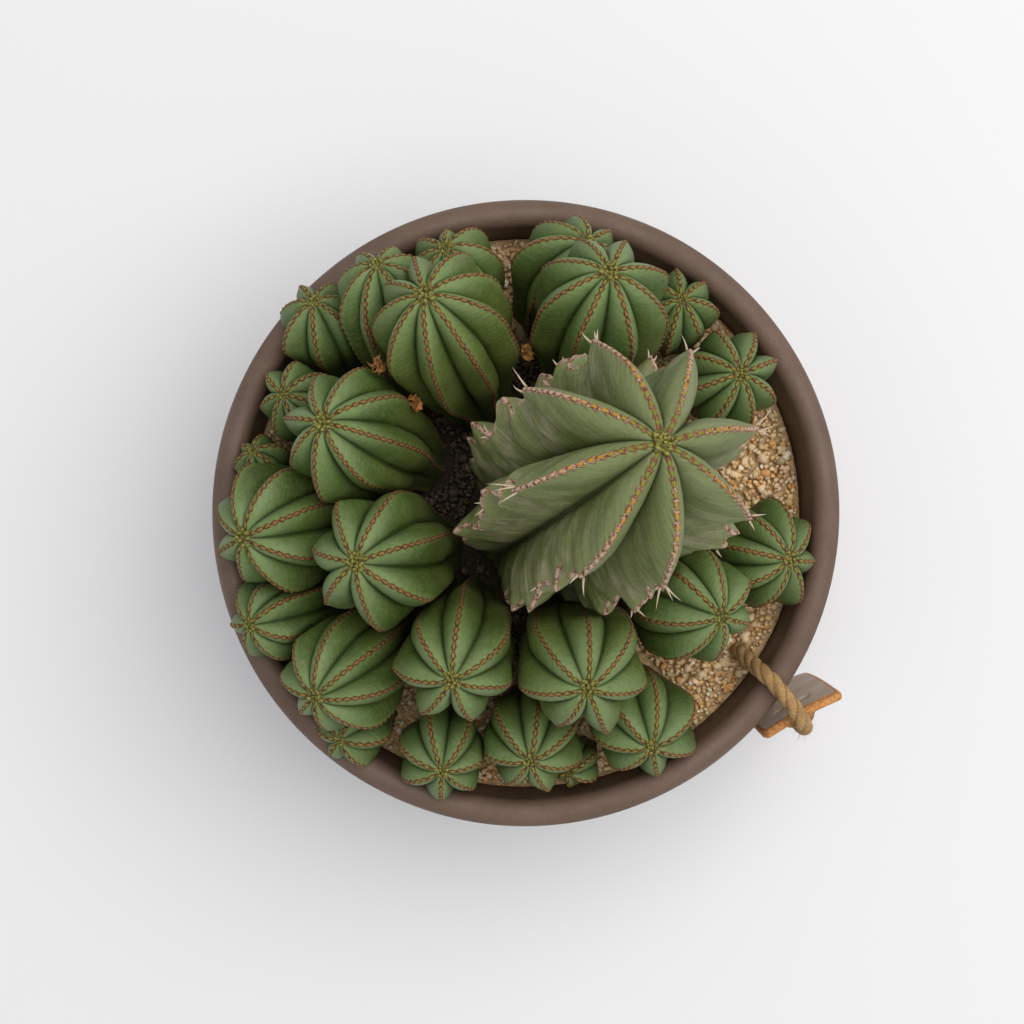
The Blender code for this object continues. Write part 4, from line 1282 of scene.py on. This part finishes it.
YOUNG_FLESH = Flesh(
    tip=(0.165, 0.205, 0.050), bloom=(0.180, 0.254, 0.098), body=(0.094, 0.150, 0.034),
    deep=(0.046, 0.080, 0.012), tint=(0.125, 0.148, 0.026), bud=(0.220, 0.185, 0.024),
    ripe=(0.270, 0.140, 0.036), scar=(0.070, 0.022, 0.008), cork=(0.220, 0.110, 0.038), pitch=0.21,
    half_width=0.060, bloom_end=2.2, young=0.25, old=1.9, streak=12.0, streak_share=0.16,
    streak_depth=0.00022, low=(0.105, 0.125, 0.018), weathered=0.15,
)
OLD_FLESH = Flesh(
    tip=(0.205, 0.240, 0.080), bloom=(0.252, 0.294, 0.128), body=(0.165, 0.204, 0.056),
    deep=(0.088, 0.114, 0.022), tint=(0.180, 0.200, 0.050), bud=(0.200, 0.210, 0.025),
    ripe=(0.500, 0.250, 0.030), scar=(0.170, 0.055, 0.020), cork=(0.520, 0.370, 0.260), pitch=0.24,
    half_width=0.090, bloom_end=3.8, young=0.6, old=3.4, streak=26.0, streak_share=0.45,
    streak_depth=0.00045, low=(0.135, 0.150, 0.036), weathered=0.75,
)
young_finish = flesh_finish("young_flesh", YOUNG_FLESH)
old_finish = flesh_finish("old_flesh", OLD_FLESH)

# %% [markdown]
# An offset gets a row for about each half millimetre from its tip to its foot, and the old mother stem gets
# more, because its relief is finer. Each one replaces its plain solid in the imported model.

# %% Offsets and mother stem
ROW_PITCH = 0.00052
FEWEST_ROWS = 46
MOST_ROWS = 112
MOTHER_ROWS = 290
necks = {}
for number, stem in enumerate(OFFSETS, start=1):
    row_count = int(np.clip(surface_length(stem) / ROW_PITCH, FEWEST_ROWS, MOST_ROWS))
    piece, _, necks[stem.name] = stem_piece(stem, YOUNG, row_count, 100 + number)
    dress(piece, young_finish, "offset_flesh", stem.name)
mother, shoulders, necks[MOTHER.name] = stem_piece(MOTHER, OLD, MOTHER_ROWS, 7)
dress(mother, old_finish, "mother_flesh", MOTHER.name)
print("the mother stem is", triangles_in(mother), "triangles, and an offset about", triangles_in(piece))

# %% [markdown]
# The young growth at each tip is a tuft of tiny round tubercles. One low ball is copied a dozen times or
# more a stem, in a sunflower spiral: the nth ball stands at 137.5 degrees x n, and at a distance that
# grows with the root of n.

# %% Ball shapes for small things
def open_grid(rows, columns):
    """The numbers of a grid's points, and the quads between them."""
    place = np.arange(rows * columns).reshape(rows, columns)
    quads = np.stack([place[:-1, :-1], place[1:, :-1], place[1:, 1:], place[:-1, 1:]], axis=-1)
    return place, quads.reshape(-1, 4)


def box_ball(cells):
    """A cube's grid pulled out to a ball, as points and quads: a round shape with few faces and no
    poles."""
    steps = np.linspace(-1, 1, cells + 1)
    a, b = np.meshgrid(steps, steps, indexing="ij")
    faces = []
    for axis in range(3):
        for side in (-1, 1):
            face = np.stack([side * np.ones_like(a), a, b], axis=-1)
            faces.append(np.roll(face if side > 0 else face[:, ::-1], axis, axis=-1))
    points = np.concatenate([face.reshape(-1, 3) for face in faces])
    count = cells + 1
    _, quad = open_grid(count, count)
    quads = np.concatenate([quad + i * count * count for i in range(6)])
    unique, back = np.unique(np.round(points, 6), axis=0, return_inverse=True)
    quads = back.reshape(-1)[quads]
    middle = unique[quads].mean(axis=1)
    start, following, opposite = (unique[quads[:, corner]] for corner in range(3))
    normal = np.cross(following - start, opposite - start)
    inward = (normal * middle).sum(axis=1) < 0
    quads[inward] = quads[inward][:, ::-1]
    return unit(unique), quads


def scattered(name, shape, quads, places, sizes, turns, values, stretch, smooth_faces=True, jitter=0, seed=1):
    """Many copies of one shape in one mesh: point = place + turn matrix @ (shape x size x stretch). jitter
    is how far each copy's points are pushed in and out, as a share."""
    rng = np.random.default_rng(seed)
    count = len(places)
    body = shape[None] * sizes[:, None, None] * stretch[:, None, :]
    if jitter:
        body = body * (1 + rng.uniform(-jitter, jitter, (count, len(shape), 1)))
    body = np.einsum("nij,nkj->nki", turns, body) + places[:, None, :]
    shift = (np.arange(count) * len(shape))[:, None, None]
    spread = {label: np.repeat(numbers, len(shape), axis=0) for label, numbers in values.items()}
    quads = (quads[None] + shift).reshape(-1, 4)
    return mesh_piece(name, body.reshape(-1, 3), quads, values=spread, smooth=smooth_faces)


def random_turns(count, rng):
    """Rotation matrices from random unit quaternions."""
    w, x, y, z = unit(rng.normal(size=(count, 4))).T
    return np.stack([
        np.stack([1 - 2 * (y * y + z * z), 2 * (x * y - z * w), 2 * (x * z + y * w)], axis=-1),
        np.stack([2 * (x * y + z * w), 1 - 2 * (x * x + z * z), 2 * (y * z - x * w)], axis=-1),
        np.stack([2 * (x * z - y * w), 2 * (y * z + x * w), 1 - 2 * (x * x + y * y)], axis=-1),
    ], axis=1)


ball_points, ball_quads = box_ball(2)

# %% Tip tufts
GOLDEN_ANGLE = math.radians(137.5)
MOTHER_TUBERCLES = 16
OFFSET_TUBERCLES = 12
MOTHER_TUFT = 0.0026
OFFSET_TUFT = 0.135  # in girths
tuft_places, tuft_sizes, tuft_ages = [], [], []
for stem in STEMS:
    tip_point, tip_ahead, tip_across, tip_beside = (part[0] for part in frame_of(stem, np.array([1.0])))
    count = MOTHER_TUBERCLES if stem is MOTHER else OFFSET_TUBERCLES
    order = np.arange(count)
    wide = MOTHER_TUFT if stem is MOTHER else stem.girth * OFFSET_TUFT
    reach = wide * np.sqrt((order + 0.4) / count)
    turn = order * GOLDEN_ANGLE
    away = np.cos(turn)[:, None] * tip_across + np.sin(turn)[:, None] * tip_beside
    sunk = TIP_DIP - 0.00045 * (reach / reach.max())[:, None] ** 2
    tuft_places.append(tip_point + reach[:, None] * away - tip_ahead * sunk)
    tuft_sizes.append(wide * (0.25 + 0.09 * np.sqrt(order / count)))
    tuft_ages.append(order / count)
tuft_places, tuft_sizes, tuft_ages = (np.concatenate(part) for part in (tuft_places, tuft_sizes, tuft_ages))
tufts = scattered(
    "tip_tufts", ball_points, ball_quads, tuft_places, tuft_sizes,
    random_turns(len(tuft_places), np.random.default_rng(5)), {"age": tuft_ages},
    np.random.default_rng(6).uniform(0.8, 1.3, (len(tuft_places), 3)),
)
print(len(tuft_places), "tubercles in", triangles_in(tufts), "triangles")


def tuft_finish():
    """Olive-yellow young growth with dark pits between the tubercles."""
    made, tree, shader = material("tuft", 0.55)
    place = object_place(tree)
    spots = noise(tree, place, 1500, 2)
    colour = blend(tree, ramp(tree, spots, 0.42, 0.6), (0.07, 0.06, 0.008), (0.25, 0.235, 0.035))
    join(tree, shader, colour, spots, 0.0002, 0.6)
    return made


dress(tufts, tuft_finish(), "offset_flesh")

# %% [markdown]
# Each shoulder of the mother stem carries two or three old spines, pale as straw. A spine is a thin cone
# along a bent line; all of them are worked out as one array.

# %% Spines
SPINE_STEPS = 6
SPINE_SIDES = 5
SPINE_WIDTH = 0.00036


def spines(name, roots, aims, lengths, seed):
    """Cones: centre = root + t x aim + t^2 x bend, and radius = width x (1 - t), with a closed root."""
    rng = np.random.default_rng(seed)
    count = len(roots)
    t = np.linspace(0, 1, SPINE_STEPS)[None, :, None]
    bend = rng.normal(0, 0.16, (count, 3)) * lengths[:, None]
    line = roots[:, None, :] + aims[:, None, :] * lengths[:, None, None] * t + bend[:, None, :] * t**2
    thick = (SPINE_WIDTH * (1.02 - t))[..., None]
    along = np.concatenate([np.repeat(t.ravel(), SPINE_SIDES), [0, 1]])
    return tapered(name, line, aims, thick, SPINE_SIDES, rng, {"along": np.tile(along, count)})


rng = np.random.default_rng(21)
roots, aims, lengths = [], [], []
for number, (point, out, ahead) in enumerate(shoulders):
    side = np.cross(ahead, out)
    first = number % 2 == 0
    for which in range(3 if number % 4 == 0 else 2):
        spread = (-0.5, 0.45, 0.0)[which] + rng.uniform(-0.2, 0.2)
        roots.append(point - out * 0.0006 + side * 0.0007 * np.sign(spread))
        aims.append(unit(out + side * spread + ahead * rng.uniform(-0.35, 0.25)))
        lengths.append(rng.uniform(0.0034, 0.0056) * (1 if first else 0.55))
spine_piece = spines("spines", np.array(roots), np.array(aims), np.array(lengths), 22)
print(len(roots), "spines in", triangles_in(spine_piece), "triangles")


def spine_finish():
    """Straw, a little browner at the root."""
    made, tree, shader = material("spine", 0.6)
    along = attribute(tree, "along")
    streak = noise(tree, object_place(tree), 1500, 2)
    colour = blend(tree, along, (0.45, 0.33, 0.22), (0.72, 0.62, 0.47))
    colour = blend(tree, ramp(tree, streak, 0.4, 0.7, 0.0, 0.4), colour, (0.35, 0.22, 0.13))
    join(tree, shader, colour, streak, 0.0001)
    return made


dress(spine_piece, spine_finish(), "mother_flesh")

# %% [markdown]
# Gravel is thousands of small angular stones. A rough bed closes the layer, and grains are laid over it
# on a jittered grid, leaving out the places where stems stand. Small grains are dented cubes and large
# ones are low dented balls, stretched and turned at random, so a grain costs only a few faces.

# %% Gravel bed
BED_SINK = 0.0016  # how far the bed's middle height lies under the grains' tops


def gravel_bed(rings=54, columns=180):
    """A disc whose top is z = top + waves, with a side down to the layer's foot, as one closed grid."""
    rng = np.random.default_rng(31)
    out = (SOIL_RADIUS - 2 * GAP) * np.linspace(0.02, 1, rings)[::-1]
    angle = np.linspace(0, 2 * np.pi, columns, endpoint=False)
    x = out[:, None] * np.cos(angle)
    y = out[:, None] * np.sin(angle)
    bumps = waves(x / 0.006, y / 0.006, 0, rng, 8) * 0.0012
    bumps = bumps + waves(x / 0.0014, y / 0.0014, 0, rng, 8) * 0.0006
    top = GRAVEL_TOP - BED_SINK + bumps
    foot = gravel_low.z
    narrow = float(inside_radius(foot)) - 2 * GAP
    base = np.stack([narrow * np.cos(angle), narrow * np.sin(angle), foot + 0 * angle], axis=-1)
    points = np.concatenate([base[None], np.stack([x, y, top], axis=-1)])
    quads, fans = ring_faces(rings + 1, columns)
    ends = np.array([[0, 0, foot], [0, 0, GRAVEL_TOP - BED_SINK]])
    return mesh_piece("gravel_bed", np.vstack([points.reshape(-1, 3), ends]), quads, fans)


bed = gravel_bed()

# %% Grains
GRAIN_COLOURS = np.array([
    (0.84, 0.62, 0.35), (0.80, 0.52, 0.22), (0.90, 0.80, 0.60),
    (0.70, 0.36, 0.12), (0.60, 0.44, 0.26), (0.86, 0.64, 0.39),
])
GRAIN_SHARES = (0.30, 0.20, 0.08, 0.10, 0.10, 0.22)
# Painted shade: the near-black colour that the gravel under the clump's middle is blended to.
CLUMP_SHADE_COLOUR = np.array([0.030, 0.021, 0.012])
CLUMP_CENTRE = np.array([-0.012, 0.002])
CLUMP_SHADE_FULL = 0.040  # the gravel has its full painted shade out to here from the clump's centre, and none from there
CLUMP_SHADE_END = 0.064


def grain_layer(name, shape, quads, pitch, low, high, lift, jitter, seed):
    """Grains on a jittered triangular grid inside the bowl, away from the stems' necks and the twine.
    Under the clump's middle they are painted dark, as shade."""
    rng = np.random.default_rng(seed)
    edge = SOIL_RADIUS - 0.0007
    across = np.arange(-edge, edge, pitch)
    x, y = np.meshgrid(across, np.arange(-edge, edge, pitch * 0.866))
    x = x + (np.arange(len(x))[:, None] % 2) * pitch / 2
    spot = np.column_stack([x.ravel(), y.ravel()]) + rng.uniform(-0.38, 0.38, (x.size, 2)) * pitch
    size = rng.uniform(low, high, len(spot)) / 2
    keep = np.hypot(spot[:, 0], spot[:, 1]) < edge - size * 0.9
    for stem in STEMS:
        foot = place(*stem.foot, 0)[:2]
        keep &= np.hypot(*(spot - foot).T) > necks[stem.name] + size * 0.35
    keep &= np.hypot(*(spot - TWINE_ROUTE[0, :2]).T) > TWINE_DIAMETER / 2 + size * 0.4
    spot, size = spot[keep], size[keep]
    count = len(spot)
    height = GRAVEL_TOP + lift + rng.uniform(-0.0005, 0.0004, count) - size * 0.25
    kind = rng.choice(len(GRAIN_COLOURS), count, p=GRAIN_SHARES)
    colour = GRAIN_COLOURS[kind] * rng.uniform(0.85, 1.1, (count, 1))
    # Painted shade: grains near the clump's middle are blended towards the shade colour.
    unshaded = smooth(np.hypot(*(spot - CLUMP_CENTRE).T), CLUMP_SHADE_FULL, CLUMP_SHADE_END)[:, None]
    colour = CLUMP_SHADE_COLOUR + (colour - CLUMP_SHADE_COLOUR) * unshaded
    stretch = rng.uniform(0.62, 1.15, (count, 3))
    shade = np.column_stack([np.clip(colour, 0, 1), np.ones(count)])
    item = scattered(name, shape, quads, np.column_stack([spot, height]), size, random_turns(count, rng),
                     {"grain": shade}, stretch, False, jitter, seed + 1)
    print(name, "is", count, "grains in", triangles_in(item), "triangles")
    return item


chip_points, chip_quads = box_ball(1)
small_grains = grain_layer(
    "small_grains", chip_points, chip_quads, pitch=0.0015, low=0.0014, high=0.0024, lift=-0.0001, jitter=0.28,
    seed=41,
)
large_grains = grain_layer(
    "large_grains", ball_points, ball_quads, pitch=0.0046, low=0.0021, high=0.0034, lift=0.0003, jitter=0.20,
    seed=43,
)

# %% Grit finish
def grit_finish():
    """Each grain's own colour, with fine pits and paler dust."""
    made, tree, shader = material("grit", 0.88)
    place = object_place(tree)
    own = attribute(tree, "grain", "Color")
    fine = noise(tree, place, 1600, 3, 0.6)
    colour = blend(tree, ramp(tree, fine, 0.45, 0.8, 0.0, 0.3), own, (0.80, 0.64, 0.42))
    colour = blend(tree, ramp(tree, fine, 0.48, 0.30, 0.0, 0.4), colour, (0.30, 0.18, 0.08))
    join(tree, shader, colour, fine, 0.00025, 0.8)
    return made


def bed_finish():
    """Sandy fines between the grains, painted dark as shade under the clump's middle."""
    made, tree, shader = material("grit_bed", 0.92)
    place = object_place(tree)
    tone = use(tree, MOTTLE, {
        "Vector": place, "Broad": 300.0, "Fine": 1500.0, "Flecks": 0.7, "First": (0.74, 0.50, 0.25, 1),
        "Second": (0.58, 0.37, 0.17, 1), "Fleck": (0.82, 0.62, 0.38, 1),
    })
    back = tuple(-part for part in (*CLUMP_CENTRE, GRAVEL_TOP))
    from_clump = add(tree, "ShaderNodeVectorMath", {0: place, 1: back}, operation="ADD").outputs[0]
    out = add(tree, "ShaderNodeVectorMath", {0: from_clump}, operation="LENGTH").outputs["Value"]
    # Painted shade under the clump's middle.
    colour = blend(tree, ramp(tree, out, CLUMP_SHADE_FULL, CLUMP_SHADE_END), tuple(CLUMP_SHADE_COLOUR), tone["Colour"])
    join(tree, shader, colour, tone["Height"], 0.0006, 1.0)
    return made


grit = grit_finish()
dress(bed, bed_finish(), "gravel", "gravel")
dress(small_grains, grit, "gravel")
dress(large_grains, grit, "gravel")

# %% Potting mix
def mix_finish():
    """Dark peat with paler crumbs, seen only through the drain holes."""
    made, tree, shader = material("peat", 0.95)
    place = object_place(tree)
    tone = use(tree, MOTTLE, {
        "Vector": place, "Broad": 200.0, "Fine": 900.0, "Flecks": 0.6, "First": (0.045, 0.030, 0.020, 1),
        "Second": (0.028, 0.018, 0.012, 1), "Fleck": (0.16, 0.11, 0.07, 1),
    })
    join(tree, shader, tone["Colour"], tone["Height"], 0.0008, 1.0)
    return made


mix_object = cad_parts["potting_mix"]
mix_object.data.materials.clear()
mix_object.data.materials.append(mix_finish())

# %% [markdown]
# Dried flowers have dropped between the stems and caught there. A flower is a few curled petals round a
# core, and a petal is a small cupped sheet with a little thickness.

# %% Dried flowers
FLOWERS = 4
FLOWER_SIZE = 0.0031
PETALS = 17
PETAL_ROWS = 7
PETAL_COLUMNS = 5
PETAL_THICKNESS = 0.05  # in petal lengths


def petal_grid(t, s):
    """A petal's points from root to tip (t, 0 to 1) and edge to edge (s, -1 to 1): as wide as sin(pi
    t^0.7), cupped by s^2 and curled over by t^2."""
    wide = 0.42 * np.sin(np.pi * np.clip(t, 0.03, 0.97) ** 0.7)
    up = 0.55 * t**2 - 0.25 * s**2 * wide + 0.06 * np.sin(9 * s * t)
    return np.stack([t - 0.28 * t**3, s * wide, up], axis=-1)


def flower(name, centre, seed):
    """Petals in random directions round a centre. Each is a small grid with faces on both sides and a wall
    round its edge."""
    rng = np.random.default_rng(seed)
    t, s = np.meshgrid(np.linspace(0, 1, PETAL_ROWS), np.linspace(-1, 1, PETAL_COLUMNS), indexing="ij")
    sheet = petal_grid(t, s)
    shape = np.concatenate([sheet.reshape(-1, 3), (sheet + [0, 0, PETAL_THICKNESS]).reshape(-1, 3)])
    points, quad = open_grid(PETAL_ROWS, PETAL_COLUMNS)
    loop = np.concatenate([points[:-1, 0], points[-1, :-1], points[:0:-1, -1], points[0, :0:-1]])
    after = np.roll(loop, -1)
    wall = np.stack([loop, loop + points.size, after + points.size, after], axis=-1)
    quads = np.concatenate([quad[:, ::-1], quad + points.size, wall[:, ::-1]])
    places = centre + unit(rng.normal(size=(PETALS, 3))) * FLOWER_SIZE * 0.12
    sizes = rng.uniform(0.7, 1.1, PETALS) * FLOWER_SIZE
    turns = random_turns(PETALS, rng)
    ages = {"along": rng.uniform(0, 1, PETALS)}
    return scattered(name, shape, quads, places, sizes, turns, ages, rng.uniform(0.8, 1.1, (PETALS, 3)))


def husk_finish():
    """Papery orange-brown, darker in places, with fine veins."""
    made, tree, shader = material("dry_petals", 0.8)
    place = object_place(tree)
    age = attribute(tree, "along")
    vein = noise(tree, stretched(tree, place, 1, 1, 0.4), 1800, 3, 0.6)
    colour = blend(tree, age, (0.36, 0.15, 0.022), (0.13, 0.048, 0.012))
    colour = blend(tree, ramp(tree, vein, 0.4, 0.65, 0.0, 0.5), colour, (0.48, 0.24, 0.06))
    join(tree, shader, colour, vein, 0.0003, 0.9)
    return made


HUSK = husk_finish()
for number in range(1, FLOWERS + 1):
    low, high = (np.array(corner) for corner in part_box(f"dried_flower_{number}"))
    husk = flower(f"dry_flower_{number}", (low + high) / 2, 60 + number)
    dress(husk, HUSK, "dried_flower", f"dried_flower_{number}")
